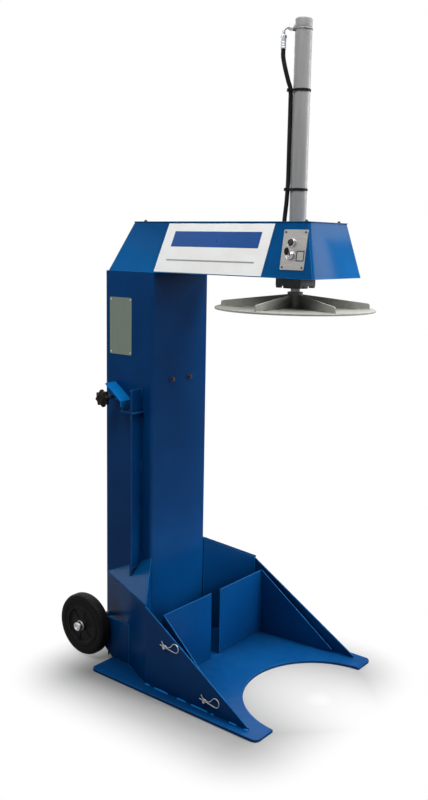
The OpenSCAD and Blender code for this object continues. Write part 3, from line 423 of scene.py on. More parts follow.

# %% [markdown]
# ## Bare metals
#
# Zinc plating is cloudy and slightly blue, and the chrome of the bezels is
# nearly clean. The rod's chrome has a dark base colour, painted shade for the
# head's shadow that it stands in and the dark things it mirrors, and some of
# the small screws are blackened. The platen is plain galvanised steel: a pale
# matt grey with cloudy crystals, darker marks, corners darkened as painted
# shade, and bright edges where rubbish has rubbed it.

# %% Metals
def metal(name, deep, light, rough, scale=180, stretch=None, scuff=0.3):
    r = Recipe(name, {"Metallic": 1.0})
    clouds = r.noise(scale, 4, 0.6, stretch)
    marks = r.noise(scale * 0.21, 6, 0.7)
    tone = r.mix(r.remap(clouds, 0.3, 0.7), deep, light)
    tone = r.mix(r.calc("MULTIPLY", r.remap(marks, 0.52, 0.8), scuff),
                 tone, [0.35 * c for c in deep])
    tone = r.mix(r.calc("MULTIPLY", r.edges(0.8 * MM), 0.5), tone,
                 [min(1, 1.5 * c) for c in light])
    polish = r.remap(clouds, 0.25, 0.75, rough - 0.06, rough + 0.10)
    r.feed(Base_Color=tone, Roughness=polish,
           Normal=r.bump(clouds, 0.03 * MM))


metal("zinc", (0.30, 0.31, 0.33), (0.50, 0.51, 0.53), 0.33)
metal("bezel_chrome", (0.42, 0.42, 0.43), (0.62, 0.62, 0.63), 0.14, scuff=0.1)
# painted shade: the rod's chrome is darkened for the head's shadow and the
# dark things it mirrors
metal("rod_chrome", (0.060, 0.065, 0.075), (0.11, 0.115, 0.13), 0.14, 90,
      (1, 1, 0.1), 0.2)
metal("dark_steel", (0.045, 0.037, 0.031), (0.09, 0.075, 0.065), 0.36)
metal("panel_metal", (0.270, 0.262, 0.254), (0.35, 0.34, 0.33), 0.34, 500,
      (1, 0.05, 1), 0.15)
metal("data_metal", (0.133, 0.160, 0.133), (0.165, 0.193, 0.165), 0.42, 600,
      (1, 1, 0.03), 0.15)
metal("block_alu", (0.55, 0.56, 0.57), (0.68, 0.68, 0.69), 0.3)
print("bare metals mixed")

# %% Galvanised steel for the platen
def galvanised(name, deep, light):
    r = Recipe(name, {"Specular IOR Level": 0.4})
    crystal = r.add("TexVoronoi", {"Vector": r.place(), "Scale": 70.0},
                    feature="F1").outputs["Color"]
    facet = r.add("SeparateXYZ", {0: crystal}).outputs["X"]
    clouds = r.noise(9, 5, 0.65)
    tone = r.mix(r.calc("ADD", r.calc("MULTIPLY", facet, 0.35),
                        r.remap(clouds, 0.3, 0.75, 0.0, 0.65)), deep, light)
    marks = r.noise(26, 7, 0.75, (1, 1, 2))
    tone = r.mix(r.calc("MULTIPLY", r.remap(marks, 0.56, 0.78), 0.45),
                 tone, (0.17, 0.145, 0.12))
    # painted shade: deep corners between ribs, hub and disc are darkened
    # nearly to black
    tone = r.mix(r.calc("MULTIPLY", r.corners(0.10, 0.12, 0.60), 0.6),
                 tone, (0.045, 0.045, 0.046))
    rim = r.edges(1.6 * MM)
    tone = r.mix(r.calc("MULTIPLY", rim, 0.55), tone, (0.62, 0.60, 0.56))
    polish = r.remap(clouds, 0.3, 0.7, 0.40, 0.62)
    r.feed(Base_Color=tone, Roughness=polish,
           Normal=r.bump(marks, 0.12 * MM))


galvanised("platen_steel", (0.230, 0.230, 0.210), (0.358, 0.354, 0.322))
print("platen steel mixed")

# %% [markdown]
# ## Rubber, nylon and moulded plastic
#
# Tyres are matt and dusty, hoses have a fine cloth mark from the wrap they
# are cured in, and moulded plastic has a soft leather-like grain. One recipe
# serves them all: a dark base, a paler bloom in patches, and a grain bump.

# %% Rubber and plastic
def moulded(name, deep, light, rough, grain, depth, stretch=None):
    r = Recipe(name, {"Specular IOR Level": 0.06})
    bloom = r.noise(14, 5, 0.65)
    tone = r.mix(r.remap(bloom, 0.35, 0.75), deep, light)
    dust = r.calc("MULTIPLY", r.facing_up(),
                  r.remap(bloom, 0.3, 0.7, 0.1, 0.3))
    tone = r.mix(dust, tone, [min(1, 2.2 * c + 0.02) for c in light])
    tone = r.mix(r.calc("MULTIPLY", r.edges(1.2 * MM), 0.4), tone,
                 [min(1, 2.0 * c + 0.01) for c in light])
    polish = r.remap(bloom, 0.3, 0.7, rough - 0.08, rough + 0.08)
    r.feed(Base_Color=tone, Roughness=polish,
           Normal=r.bump(r.noise(grain, 3, 0.6, stretch), depth))


moulded("tyre", (0.004, 0.004, 0.004), (0.010, 0.009, 0.009), 0.62, 300,
        0.10 * MM)
moulded("wheel_hub", (0.004, 0.004, 0.004), (0.010, 0.010, 0.011), 0.45, 500,
        0.05 * MM)
moulded("hose", (0.008, 0.008, 0.009), (0.020, 0.020, 0.022), 0.42, 700,
        0.06 * MM, (1, 1, 3))
moulded("nylon_black", (0.006, 0.006, 0.007), (0.016, 0.016, 0.018), 0.36,
        800, 0.03 * MM)
moulded("knob_black", (0.008, 0.007, 0.006), (0.022, 0.017, 0.014), 0.30,
        380, 0.08 * MM)
moulded("seal", (0.010, 0.008, 0.007), (0.03, 0.024, 0.02), 0.5, 600,
        0.04 * MM)
moulded("button_grey", (0.035, 0.036, 0.036), (0.060, 0.061, 0.060), 0.34,
        600, 0.03 * MM)
moulded("box_plastic", (0.50, 0.50, 0.49), (0.60, 0.60, 0.59), 0.5, 500,
        0.04 * MM)
print("rubbers and plastics mixed")

# %% [markdown]
# ## Printed film
#
# The panel on the hood is a white film stuck to the paint. Its print is plain
# bars only. Film is smooth with a soft satin gloss, follows the slow wave of
# the sheet below, and yellows slightly in patches.

# %% Film
def film(name, tone):
    r = Recipe(name, {"Specular IOR Level": 0.3})
    patches = r.noise(9, 4, 0.6)
    specks = r.noise(160, 4, 0.7)
    stained = [c * k for c, k in zip(tone, (0.93, 0.92, 0.88))]
    colour = r.mix(r.remap(patches, 0.35, 0.7), tone, stained)
    colour = r.mix(r.calc("MULTIPLY", r.remap(specks, 0.45, 0.8), 0.05),
                   colour, [0.5 * c for c in tone])
    polish = r.remap(patches, 0.3, 0.7, 0.25, 0.38)
    r.feed(Base_Color=colour, Roughness=polish,
           Normal=r.bump(r.noise(7, 2, 0.4), 0.5 * MM))


film("label_white", (0.96, 0.965, 0.97))
film("film_blue", (0.002, 0.070, 0.30))
film("film_pale", (0.42, 0.42, 0.40))
film("film_grey", (0.30, 0.32, 0.34))
film("film_dark", (0.008, 0.009, 0.011))
print("films mixed")

# %% [markdown]
# ## Dressing the solid parts
#
# Every solid part names a material slot, and the finishes above carry the
# slots' names, so one loop dresses them all. Pieces that are modelled below
# then stand for some of them.

# %% Each solid part gets the finish of its slot
for node, solid in frame["nodes"].items():
    solid.data.materials.clear()
    solid.data.materials.append(finish_of[slot_of[node]])
print(len(frame["nodes"]), "solid parts have a finish")

# %% [markdown]
# ## Breaking sharp edges
#
# Sheared and ground steel has no knife edges: each edge is broken by half a
# millimetre or more, and that thin strip catches the light. A copy of the
# solid is cleaned so that flat faces are whole again, a Bevel modifier
# rounds what is sharper than 34 degrees, and a Weighted Normal modifier
# keeps the large faces flat. The copy then stands for the plain solid, and
# takes its body, slot and finish from it unless told otherwise: the lever
# and the filler plates get lighter copies of the blue, painted light where
# they catch more light than their neighbours, and the two screws in front of
# the column are blackened.

# %% A helper that puts a mesh on the machine, and one that breaks edges
def settle(name, shape, node=None, finishes=None, body=None, slot=None,
           sharp=38):
    """Make a piece; given a node, it stands for that solid part"""
    bmesh.ops.recalc_face_normals(shape, faces=shape.faces)
    mesh = bpy.data.meshes.new(name)
    shape.to_mesh(mesh)
    shape.free()
    for face in mesh.polygons:
        face.use_smooth = True
    mesh.set_sharp_from_angle(angle=math.radians(sharp))
    slot = slot or slot_of[node]
    for finish in finishes or [slot]:
        mesh.materials.append(finish_of[finish])
    piece = bpy.data.objects.new(name, mesh)
    bpy.context.scene.collection.objects.link(piece)
    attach(piece, body or body_of[node])
    if node:
        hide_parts(node)
    return piece


def eased(node, width, finishes=None):
    shape = bmesh.new()
    shape.from_mesh(frame["nodes"][node].data)
    bmesh.ops.remove_doubles(shape, verts=shape.verts, dist=0.01 * MM)
    bmesh.ops.dissolve_limit(shape, angle_limit=math.radians(0.5),
                             verts=shape.verts, edges=shape.edges)
    piece = settle(node + ".eased", shape, node, finishes, sharp=75)
    rounder = piece.modifiers.new("broken edges", "BEVEL")
    rounder.width = width
    rounder.segments = 2
    rounder.limit_method = "ANGLE"
    rounder.angle_limit = math.radians(34)
    flats = piece.modifiers.new("flat faces", "WEIGHTED_NORMAL")
    flats.keep_sharp = True


print("edges can be broken")

# %% Break the edges of the sheets and blocks
sheet_edges = {
    "base_plate": 1.4, "left_side_sheet": 1.0, "right_side_sheet": 1.0,
    "front_webs": 0.9, "column_shell": 0.9, "rear_cover": 0.7,
    "head_hood": 0.8, "head_top_cover": 0.8, "side_fin": 1.2,
    "latch_shelf": 0.9, "left_guide": 1.1, "right_guide": 1.1,
    "wheel_brackets": 1.2, "cylinder_flange": 2.0, "flange_bolts": 0.8,
    "rod_gland": 1.0, "platen_disc": 1.2, "platen_ribs": 1.2,
    "platen_hub": 1.2, "control_plate": 0.4, "cable_gland": 0.6,
    "axle_washers": 0.6, "latch_stud": 0.6, "guide_pins": 0.5,
    "rear_cover_screws": 0.5, "hose_grommet": 0.5}
for node, width in sheet_edges.items():
    eased(node, width * MM)
# painted light: the lever takes the much lighter copy of the blue
eased("latch_plate", 1.0 * MM, ["paint_blue_lit"])
# painted light: the filler plates take the head's lighter copy of the blue
eased("filler_plates", 1.1 * MM, ["paint_blue_head"])
eased("column_front_screws", 0.6 * MM, ["dark_steel"])
print(len(sheet_edges) + 3, "solids with broken edges")

# %% [markdown]
# ## Turned, swept and welded shapes
#
# Most of what is still missing is made in one of two ways. A screw, a cap or
# a tyre is turned: an outline goes once round an axis. A hose, a clip or a
# weld bead is swept: a small section travels along a route. Both are a few
# lines of bmesh, which makes cleaner meshes than modifiers would, because
# every ring lies exactly where it is asked for. An outline may also be
# hexagonal or lobed: its radius is then a function of the angle. Places
# come from the solid parts' boxes, or in millimetres from the rear edge of
# the floor plate, as on a drawing.

# %% Helpers for routes and outlines
def circle(radius, sides):
    turns = [2 * math.pi * k / sides for k in range(sides)]
    return [(radius * math.cos(a), radius * math.sin(a)) for a in turns]


def hoop(x, y, z, radius, step):
    """Places round an upright axis, every few degrees"""
    turns = [math.radians(a) for a in range(0, 361, step)]
    return [Vector((x, y, z)) + radius * MM * Vector(
        (math.cos(a), math.sin(a), 0)) for a in turns]


def rounded(points, cut, steps=3, closed=False):
    """A line of points whose corners are cut back and rounded"""
    points = [Vector(p) for p in points]
    smooth = []
    for k, corner in enumerate(points):
        if not closed and k in (0, len(points) - 1):
            smooth.append(corner)
            continue
        before, after = points[k - 1], points[(k + 1) % len(points)]
        back = min(cut, 0.45 * (before - corner).length)
        on = min(cut, 0.45 * (after - corner).length)
        a = corner + back * (before - corner).normalized()
        b = corner + on * (after - corner).normalized()
        for step in range(steps + 1):
            t = step / steps
            smooth.append((1 - t) ** 2 * a + 2 * t * (1 - t) * corner
                          + t * t * b)
    return smooth


def curve_through(points, steps):
    """A smooth route that passes through every point"""
    points = [Vector(p) for p in points]
    route = []
    for k in range(len(points) - 1):
        a, b, c = points[max(k - 1, 0)], points[k], points[k + 1]
        d = points[min(k + 2, len(points) - 1)]
        for step in range(steps):
            t = step / steps
            route.append(0.5 * (2 * b + (c - a) * t
                                + (2 * a - 5 * b + 4 * c - d) * t ** 2
                                + (3 * b - a - 3 * c + d) * t ** 3))
    return route + [points[-1]]


def hexed(radius):
    sector = math.pi / 3
    return lambda a: radius * math.cos(sector / 2) / math.cos(
        a % sector - sector / 2)


def lobed(radius, lift):
    """Eight soft lobes"""
    return lambda a: radius + lift * ((1 + math.cos(8 * a)) / 2) ** 1.5


def aimed(place, axis, turn=0.0):
    """A frame at a place whose Z points along the axis"""
    facing = Vector(axis).to_track_quat("Z", "Y").to_matrix().to_4x4()
    return (Matrix.Translation(Vector(place)) @ facing
            @ Matrix.Rotation(turn, 4, "Z"))


print("routes and outlines are ready")

# %% Helpers for turned and swept meshes
def skin(shape, rings, closed=False):
    pairs = list(zip(rings, rings[1:])) + ([(rings[-1], rings[0])]
                                           if closed else [])
    for low, high in pairs:
        sides = max(len(low), len(high))
        for i in range(sides):
            j = (i + 1) % sides
            corners = dict.fromkeys((low[i % len(low)], low[j % len(low)],
                                     high[j % len(high)], high[i % len(high)]))
            if len(corners) > 2:
                shape.faces.new(list(corners))


def turned(shape, outline, frame_at, sides=48, closed=False):
    """Outline of (radius, height) in millimetres, once round local Z"""
    rings = []
    for radius, height in outline:
        if not callable(radius) and radius < 1e-6:
            spots = [(0, 0)]
        else:
            spots = []
            for k in range(sides):
                a = 2 * math.pi * k / sides
                r = radius(a) if callable(radius) else radius
                spots.append((r * math.cos(a), r * math.sin(a)))
        rings.append([shape.verts.new(frame_at @ (Vector((x, y, height)) * MM))
                      for x, y in spots])
    skin(shape, rings, closed)


def swept(shape, route, outline, up=None, closed=False, grow=None):
    """Outline of (aside, over) in metres, carried along a route"""
    count = len(route)
    rings, over = [], None
    for k, spot in enumerate(route):
        if closed:
            along = route[(k + 1) % count] - route[k - 1]
        else:
            along = route[min(k + 1, count - 1)] - route[max(k - 1, 0)]
        along.normalize()
        if up is not None:
            over = Vector(up)
        elif over is None:
            steep = abs(along.z) >= 0.9
            over = Vector((0, 1, 0) if steep else (0, 0, 1))
        aside = along.cross(over).normalized()
        over = aside.cross(along).normalized()
        size = grow(k) if grow else 1.0
        rings.append([shape.verts.new(spot + size * (a * aside + b * over))
                      for a, b in outline])
    skin(shape, rings, closed)
    if not closed:
        shape.faces.new(list(reversed(rings[0])))
        shape.faces.new(rings[-1])


print("meshes can be turned and swept")

# %% Helpers for places
def low_of(node):
    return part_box(node)[0]


def high_of(node):
    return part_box(node)[1]


def middle_of(node):
    low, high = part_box(node)
    return (low + high) / 2


rear_edge = high_of("base_plate").y


def spot(x, y, z):
    """Millimetres from the rear edge of the floor plate, to a place"""
    return Vector((x * MM, rear_edge + y * MM, z * MM))


print("the floor plate ends", round(rear_edge, 5), "m behind the middle")

# %% [markdown]
# ## Weld beads on the frame
#
# The frame is welded with short stitches along the feet of the cheeks and
# with thin continuous beads where the filler plates close the column. A bead
# is a row of frozen ripples: a round section is swept along the joint while
# its size pulses at every ripple and drifts slowly, as a hand does. It is
# sunk to its middle in the corner, so only the rounded half shows. The beads
# are sprayed with the frame. Those at the foot catch the light on every
# ripple, so they are a piece of their own in a much lighter copy of the blue,
# a painted highlight.

# %% A helper for weld beads
RIPPLE = 3.4 * MM


def weld(shape, route, width, seed):
    """A bead of frozen ripples whose thickness drifts along its route"""
    dice = random.Random(seed)
    spots, lengths = [], [0.0]
    for a, b in zip(route, route[1:]):
        lengths.append(lengths[-1] + (b - a).length)
    length = lengths[-1]
    count = max(4, round(length / (RIPPLE / 3)))
    leg = 0
    for k in range(count + 1):
        at = length * k / count
        while leg < len(route) - 2 and lengths[leg + 1] < at:
            leg += 1
        share = (at - lengths[leg]) / (lengths[leg + 1] - lengths[leg])
        spots.append(route[leg].lerp(route[leg + 1], share))
    drift = [dice.uniform(-1, 1) for _ in range(count // 12 + 3)]

    def slow(k):
        at = k / 12
        low = int(at)
        return drift[low] + (drift[low + 1] - drift[low]) * (at - low)

    def size(k):
        ends = min(1.0, 0.45 + k / 5, 0.45 + (count - k) / 5)
        ripple = 0.88 + 0.14 * abs(math.sin(math.pi * k / 3 + 0.4))
        return ends * ripple * (1 + 0.13 * slow(k))

    swept(shape, spots, circle(width / 2, 10), grow=size)


def stitches(shape, start, end, width, shares, seed):
    for k, (a, b) in enumerate(shares):
        weld(shape, [start.lerp(end, a), start.lerp(end, b)], width, seed + k)


print("a ripple is", round(RIPPLE / MM, 1), "mm long")

# %% Weld beads of the frame
col_half, col_front, col_rear = 150, -97, 129
fold_x, fold_y, tip_x, tip_y = 317, -228, 326, -677
plate_top, cheek_top, filler_front, filler_rear = 10, 297, 387, 281
beads = bmesh.new()
foot_beads = bmesh.new()
for side in (-1, 1):
    fold_foot = spot(side * fold_x, fold_y, plate_top)
    tip_foot = spot(side * tip_x, tip_y, plate_top)
    rear_foot = spot(side * 214, 0, plate_top)
    stitches(foot_beads, fold_foot, tip_foot, 8 * MM,
             ((0.0, 0.05), (0.10, 0.24), (0.33, 0.42), (0.47, 0.63),
              (0.66, 0.69), (0.83, 0.90), (0.965, 1.0)), 20 + 10 * side)
    stitches(beads, fold_foot, rear_foot, 6 * MM,
             ((0.02, 0.16), (0.45, 0.62), (0.84, 1.0)), 50 + 10 * side)
    fold_top = spot(side * fold_x, fold_y, cheek_top)
    web_top = spot(side * col_half, col_front, filler_front)
    rear_top = spot(side * col_half, col_rear, filler_rear)
    weld(beads, [rear_top, web_top], 5 * MM, 81 + side)
    weld(beads, [web_top, fold_top], 4 * MM, 84 + side)
    weld(beads, [rear_top, fold_top], 4 * MM, 87 + side)
    weld(beads, [spot(side * (col_half + 1), col_front, plate_top), web_top],
         4.5 * MM, 90 + side)
    bracket_x = low_of("wheel_brackets").x * -side
    weld(beads, [Vector((bracket_x, rear_edge + 0.018, z))
                 for z in (0.012, 0.150)], 6 * MM, 93 + side)
stitches(beads, spot(-col_half, col_front, plate_top),
         spot(col_half, col_front, plate_top), 6 * MM,
         ((0.02, 0.2), (0.4, 0.6), (0.8, 0.98)), 96)
fin_rows = ((0.0, 0.05), (0.24, 0.31), (0.52, 0.59), (0.79, 0.85), (0.95, 1.0))
fin_front, fin_back, fin_foot, fin_top = -47, -37, 360, 999
for y in (fin_front, fin_back):
    stitches(beads, spot(-col_half, y, fin_foot),
             spot(-col_half, y, fin_top), 5 * MM, fin_rows, 100 + y)
weld(beads, [spot(-152, fin_front, 352), spot(-199, fin_front, 345)],
     4.5 * MM, 111)
shelf_low, shelf_high = 915, 920
for z in (shelf_low, shelf_high):
    weld(beads, [spot(-153, -47.5, z), spot(-198, -47.5, z)], 3.5 * MM, z)
settle("frame_welds", beads, body="stand", slot="paint_blue", sharp=75)
# painted highlight: the foot beads take the much lighter copy of the blue
settle("foot_welds", foot_beads, None, ["paint_blue_lit"], "stand",
       "paint_blue", 75)
print("frame beads laid")

# %% [markdown]
# ## Weld beads on the platen
#
# The hub and the six ribs are welded to the disc. These beads ride with the
# ram, and have the same galvanised finish as the disc and the ribs.

# %% Weld beads of the platen
press = middle_of("cylinder_tube")
disc_top = high_of("platen_disc").z
beads = bmesh.new()
weld(beads, hoop(press.x, press.y, disc_top, 25.4, 6), 5.5 * MM, 7)
for rib in range(6):
    turn = math.radians(4 + 60 * rib)
    out = Vector((math.cos(turn), math.sin(turn), 0))
    aside = Vector((-out.y, out.x, 0))
    for side in (-1, 1):
        foot = Vector((press.x, press.y, disc_top)) + side * 3 * MM * aside
        for a, b in ((0.028, 0.085), (0.125, 0.165), (0.198, 0.239)):
            weld(beads, [foot + a * out, foot + b * out], 4.5 * MM,
                 10 * rib + side + round(100 * a))
        weld(beads, [foot + 0.0252 * out, foot + 0.0252 * out
                     + Vector((0, 0, 0.043))], 4 * MM, 70 + rib + side)
settle("platen_welds", beads, body="ram", slot="platen_steel", sharp=75)
print("platen beads laid")

# %% [markdown]
# ## The top of the cylinder
#
# A turned cap closes the tube. A weld ring runs round the joint, just below
# the cap. The cap's rim is chamfered and its top has the small centre mark
# that the lathe leaves. The boss for the upper port is turned too, and
# carries the same grey coat.

# %% Cylinder cap and port boss
cap_joint = high_of("cylinder_tube").z
cap_top = high_of("cylinder_cap").z
tube_r = 27
cap_h = (cap_top - cap_joint) / MM
cap = bmesh.new()
turned(cap, rounded([(0, -15), (22, -15), (22, 0), (tube_r, 0), (tube_r, 2.2),
                     (26.3, 2.8), (26.3, 3.8), (tube_r, 4.4),
                     (tube_r, cap_h - 2.2), (24.8, cap_h), (4, cap_h),
                     (3, cap_h - 1), (0, cap_h - 1.2)], 0.8, 2),
       aimed((press.x, press.y, cap_joint), (0, 0, 1)), 72)
settle("cylinder_cap.turned", cap, "cylinder_cap")
seam = bmesh.new()
weld(seam, hoop(press.x, press.y, cap_joint, 27.1, 5), 4.2 * MM, 5)
hose_way = Vector((-1, 1, 0)).normalized()
port_z = cap_top - 0.029
port = aimed((press.x, press.y, port_z), hose_way)
turned(seam, rounded([(0, 20), (9.5, 20), (9.5, 33), (8.5, 34.5), (0, 34.5)],
                     1.0, 3), port, 40)
boss_ring = [port @ (Vector((math.cos(a), math.sin(a), 0)) * 10 * MM
                     + Vector((0, 0, 25.6 * MM)))
             for a in (math.pi * k / 16 for k in range(33))]
weld(seam, boss_ring, 3.4 * MM, 6)
settle("cylinder_seam", seam, body="stand", slot="paint_grey")
print("cap is", round(cap_h, 1), "mm high")

# %% [markdown]
# ## Port fitting, bent pipe and ferrule
#
# Oil enters through a screwed fitting with a hexagon nut. A thin bent pipe
# turns the flow downwards into a ferrule that is crimped on the hose; the
# crimping jaws leave eight flats and three shallow grooves. All of it is
# bright zinc. The same turned nuts serve the ports hidden in the head and
# column.

# %% Hose fittings
fittings = bmesh.new()
nut = [(0, 34), (8.4, 34), (hexed(9.6), 35.2), (hexed(9.6), 43.8), (8.4, 45),
       (6.6, 45.2), (6.2, 48.5), (0, 48.5)]
turned(fittings, nut, port)
pipe_r, bend, reach, drop = 4.5 * MM, 12 * MM, 62 * MM, 63 * MM
start = Vector((press.x, press.y, port_z))
pipe = [start + hose_way * (40 * MM), start + hose_way * (reach - bend)]
pipe += [start + hose_way * (reach - bend + bend * math.sin(a))
         - Vector((0, 0, bend * (1 - math.cos(a))))
         for a in (math.pi / 20 * k for k in range(1, 11))]
pipe.append(start + hose_way * reach - Vector((0, 0, 30 * MM)))
swept(fittings, pipe, circle(pipe_r, 20))
crimp = [(7.3, 0), (8.3, 0.6)]
for groove in (5, 12, 19):
    crimp += [(lobed(8.1, 0.5), groove), (lobed(7.7, 0.3), groove + 1.6),
              (lobed(8.1, 0.5), groove + 3.2)]
crimp += [(8.4, 30), (8.4, 31.5), (hexed(9.9), 32.6), (hexed(9.9), 38.8),
          (8.6, 40), (5.6, 40.2), (5.2, 43), (0, 43)]
turned(fittings, [(0, 0)] + crimp,
       aimed(start + hose_way * reach + Vector((0, 0, -drop)), (0, 0, 1)))
plain_nut = [(0, 0), (9, 0), (hexed(11), 1), (hexed(11), 5.2), (9.4, 6.2),
             (8, 6.4), (8, 15.4), (7.4, 16), (0, 16)]
block_top = high_of("valve_block").z
for x in (-0.055, -0.020):
    turned(fittings, plain_nut,
           aimed((x, rear_edge + 0.044, block_top), (0, 0, 1)))
turned(fittings, [(0, 27), (9, 27), (9, 34.5), (hexed(11), 35.5),
                  (hexed(11), 39.4), (9.4, 40.4), (8.6, 43.6), (0, 44)],
       aimed((press.x, press.y, low_of("head_floor").z + 0.032), (0, 1, 0)))
settle("hose_fittings.turned", fittings, "hose_fittings", sharp=30)
print("hose leaves its ferrule at", round(port_z - drop, 3), "m")

# %% [markdown]
# ## The pressure hose
#
# The hose is held all the way: crimped at the top, tied twice to the tube,
# then through the grommet into the head and down inside the column to the
# valve block. Its route repeats the points of the solid hose, and a smooth
# curve through them is swept with a round section. Twenty sides keep the
# outline round where it leaves the ferrule.

# %% Pressure hose
def beside(r, z):
    """r millimetres from the press axis on the hose's side, at height z"""
    return Vector((press.x, press.y, z * MM)) + hose_way * (r * MM)


hose_route = [beside(*p) for p in (
    (62, 2108), (62, 2098), (62, 2090), (60.5, 2078), (54, 2050),
    (43, 2012), (35.5, 1987), (34.5, 1930), (34.5, 1810), (34.5, 1720),
    (35.5, 1685), (38, 1640))]
hose_route += [spot(*p) for p in (
    (-30, -554, 1590), (-30, -554, 1560), (-31, -552, 1530),
    (-36, -536, 1490), (-42, -500, 1466), (-50, -420, 1460),
    (-54, -300, 1460), (-55, -180, 1460), (-55, -60, 1460), (-55, 0, 1456),
    (-55, 32, 1436), (-55, 42, 1400), (-55, 44, 1340), (-55, 44, 1200),
    (-55, 44, 1000), (-55, 44, 800), (-55, 44, 671))]
hose = bmesh.new()
swept(hose, curve_through(hose_route, 8), circle(7 * MM, 20))
settle("pressure_hose.round", hose, "pressure_hose")
print(len(hose_route), "points guide the hose")

# %% [markdown]
# ## Cable ties
#
# Each tie is a toothed nylon strap pulled round the tube and the hose, with
# a square head at the hose's far side. The strap is the tight loop round two
# circles: their shared outline is swept with a flat section, and small bars
# across it are the teeth. The cut end of the strap stands out of the head.

# %% Cable ties
tube_reach, hose_reach, hose_at = 27.9, 8.5, 35
ties = bmesh.new()
apart = math.acos((tube_reach - hose_reach) / hose_at)
loop = [(tube_reach * math.cos(a), tube_reach * math.sin(a)) for a in
        (apart + (2 * math.pi - 2 * apart) * k / 84 for k in range(85))]
loop += [(hose_at + hose_reach * math.cos(a), hose_reach * math.sin(a))
         for a in (-apart + 2 * apart * k / 16 for k in range(17))]
hose_side = hose_way.cross(Vector((0, 0, 1)))
tie_heights = [low_of("cable_ties").z + 1 * MM,
               high_of("cable_ties").z - 8.6 * MM]
for height in tie_heights:
    middle = Vector((press.x, press.y, height + 3.8 * MM))
    strap = [middle + hose_way * (a * MM) - hose_side * (b * MM)
             for a, b in loop]
    flat = [(-0.8 * MM, -3.6 * MM), (0.8 * MM, -3.8 * MM),
            (0.8 * MM, 3.8 * MM), (-0.8 * MM, 3.6 * MM)]
    swept(ties, strap, flat, up=(0, 0, 1), closed=True)
    for k in range(4, 82):
        away = (strap[k] - middle).normalized()
        tooth = strap[k] + away * 0.75 * MM
        swept(ties, [tooth - Vector((0, 0, 2.7 * MM)),
                     tooth + Vector((0, 0, 2.7 * MM))],
              [(0.28 * MM * x, 0.28 * MM * y) for x, y in circle(1, 4)])
    head = beside(43.6, 0) + Vector((0, 0, height + 3.8 * MM))
    block = rounded([(-5, -3.5), (5, -3.5), (5, 3.5), (-5, 3.5)], 1.0, 2, True)
    block = [(x * MM, y * MM) for x, y in block]
    lengthwise = [(-4.8, 0.86), (-4.3, 1), (4.3, 1), (4.8, 0.86)]
    swept(ties, [head + Vector((0, 0, z * MM)) for z, _ in lengthwise], block,
          up=tuple(hose_way), grow=lambda k: lengthwise[k][1])
    tail = [head - hose_side * (y * MM) + hose_way * (x * MM)
            for x, y in ((0, 0), (0.4, 4), (1.4, 8))]
    swept(ties, tail, [(1.0 * x, 0.8 * y) for x, y in flat], up=(0, 0, 1))
settle("cable_ties.toothed", ties, "cable_ties")
print("ties at", [round(z, 3) for z in tie_heights])

# %% [markdown]
# ## Spring clips
#
# The clips that hold the bin guides are bent from one round wire: a straight
# leg goes through the pin, the wire turns round an eye and comes back in a
# wave that hugs the pin. The solid clips follow a coarse outline; here a
# smooth curve is drawn through the same points and swept with a round
# section in bright zinc. Each clip hangs a small gap away from its cheek.

# %% Spring clips
def arc(cx, cy, radius, start, end, steps):
    angles = [math.radians(start + (end - start) * k / steps)
              for k in range(steps + 1)]
    return [(cx + radius * math.cos(a), cy + radius * math.sin(a))
            for a in angles]


clip_line = ([(-22, 0), (-8, 0), (18, 0), (38, 0)]
             + arc(43, 15, 15, -90, 135, 14)
             + [(24, 12.5), (18, 7), (13, 4.4), (9, 4.4)]
             + arc(0, 0, 6.6, 45, 135, 6) + [(-11, 9), (-17, 16)])
tilt, gap = math.radians(8), 3.2
clips = bmesh.new()
for side in (-1, 1):
    for pin_y, pin_z in ((-322, 175), (-500, 46)):
        reach = fold_x + (tip_x - fold_x) * (fold_y - pin_y) / (
            fold_y - tip_y) + gap
        wire = [spot(side * reach,
                     pin_y - (u * math.cos(tilt) + v * math.sin(tilt)),
                     pin_z + v * math.cos(tilt) - u * math.sin(tilt))
                for u, v in clip_line]
        swept(clips, curve_through(wire, 3), circle(1.5 * MM, 12))
settle("spring_clips.bent", clips, "spring_clips")
print("four clips bent")

# %% [markdown]
# ## The star knob
#
# The clamping knob is moulded in black phenolic round a steel insert: eight
# soft lobes for the fingers, a raised face with a shallow dish, and a short
# collar towards the lever. Turned rings whose radius follows a cosine give
# the lobes; the rings shrink at both faces so that every edge is round.

# %% Star knob
knob_low, knob_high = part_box("star_knob")
collar = 10 * MM
knob_base = Vector((knob_high.x - collar, *middle_of("star_knob").yz))
knob = bmesh.new()
turned(knob, [(0, 19.5), (5.3, 19), (5.3, -10), (6.8, -10), (7.5, -9.2),
              (7.8, -1), (11, 0.4), (lobed(19, 3), 0.2), (lobed(23, 4.6), 1.2),
              (lobed(25, 5.7), 3.4), (lobed(25.6, 6.2), 6.5),
              (lobed(25.7, 6.3), 10), (lobed(25.6, 6.2), 13.5),
              (lobed(25, 5.7), 16.6), (lobed(23, 4.6), 18.8),
              (lobed(20.5, 2), 20), (19.2, 20.4), (18.9, 22.6), (18, 23.7),
              (16.6, 24), (9, 24), (8, 23.6), (7.4, 22.8), (0, 22.6)],
       aimed(knob_base, (-1, 0, 0), math.radians(10)), 96)
settle("star_knob.moulded", knob, "star_knob", sharp=50)
print("knob is", round((knob_high.y - knob_low.y) / MM, 1), "mm across")

# %% [markdown]
# ## Wheels
#
# Each wheel is a solid rubber tyre on a moulded hub. The tyre has rounded
# shoulders, a groove round each side wall and the thin line that the mould
# halves leave on the tread. The hub is dished, with a step at the rim and six
# shallow ribs on its outer face. A dished steel cap nut holds it on the axle.

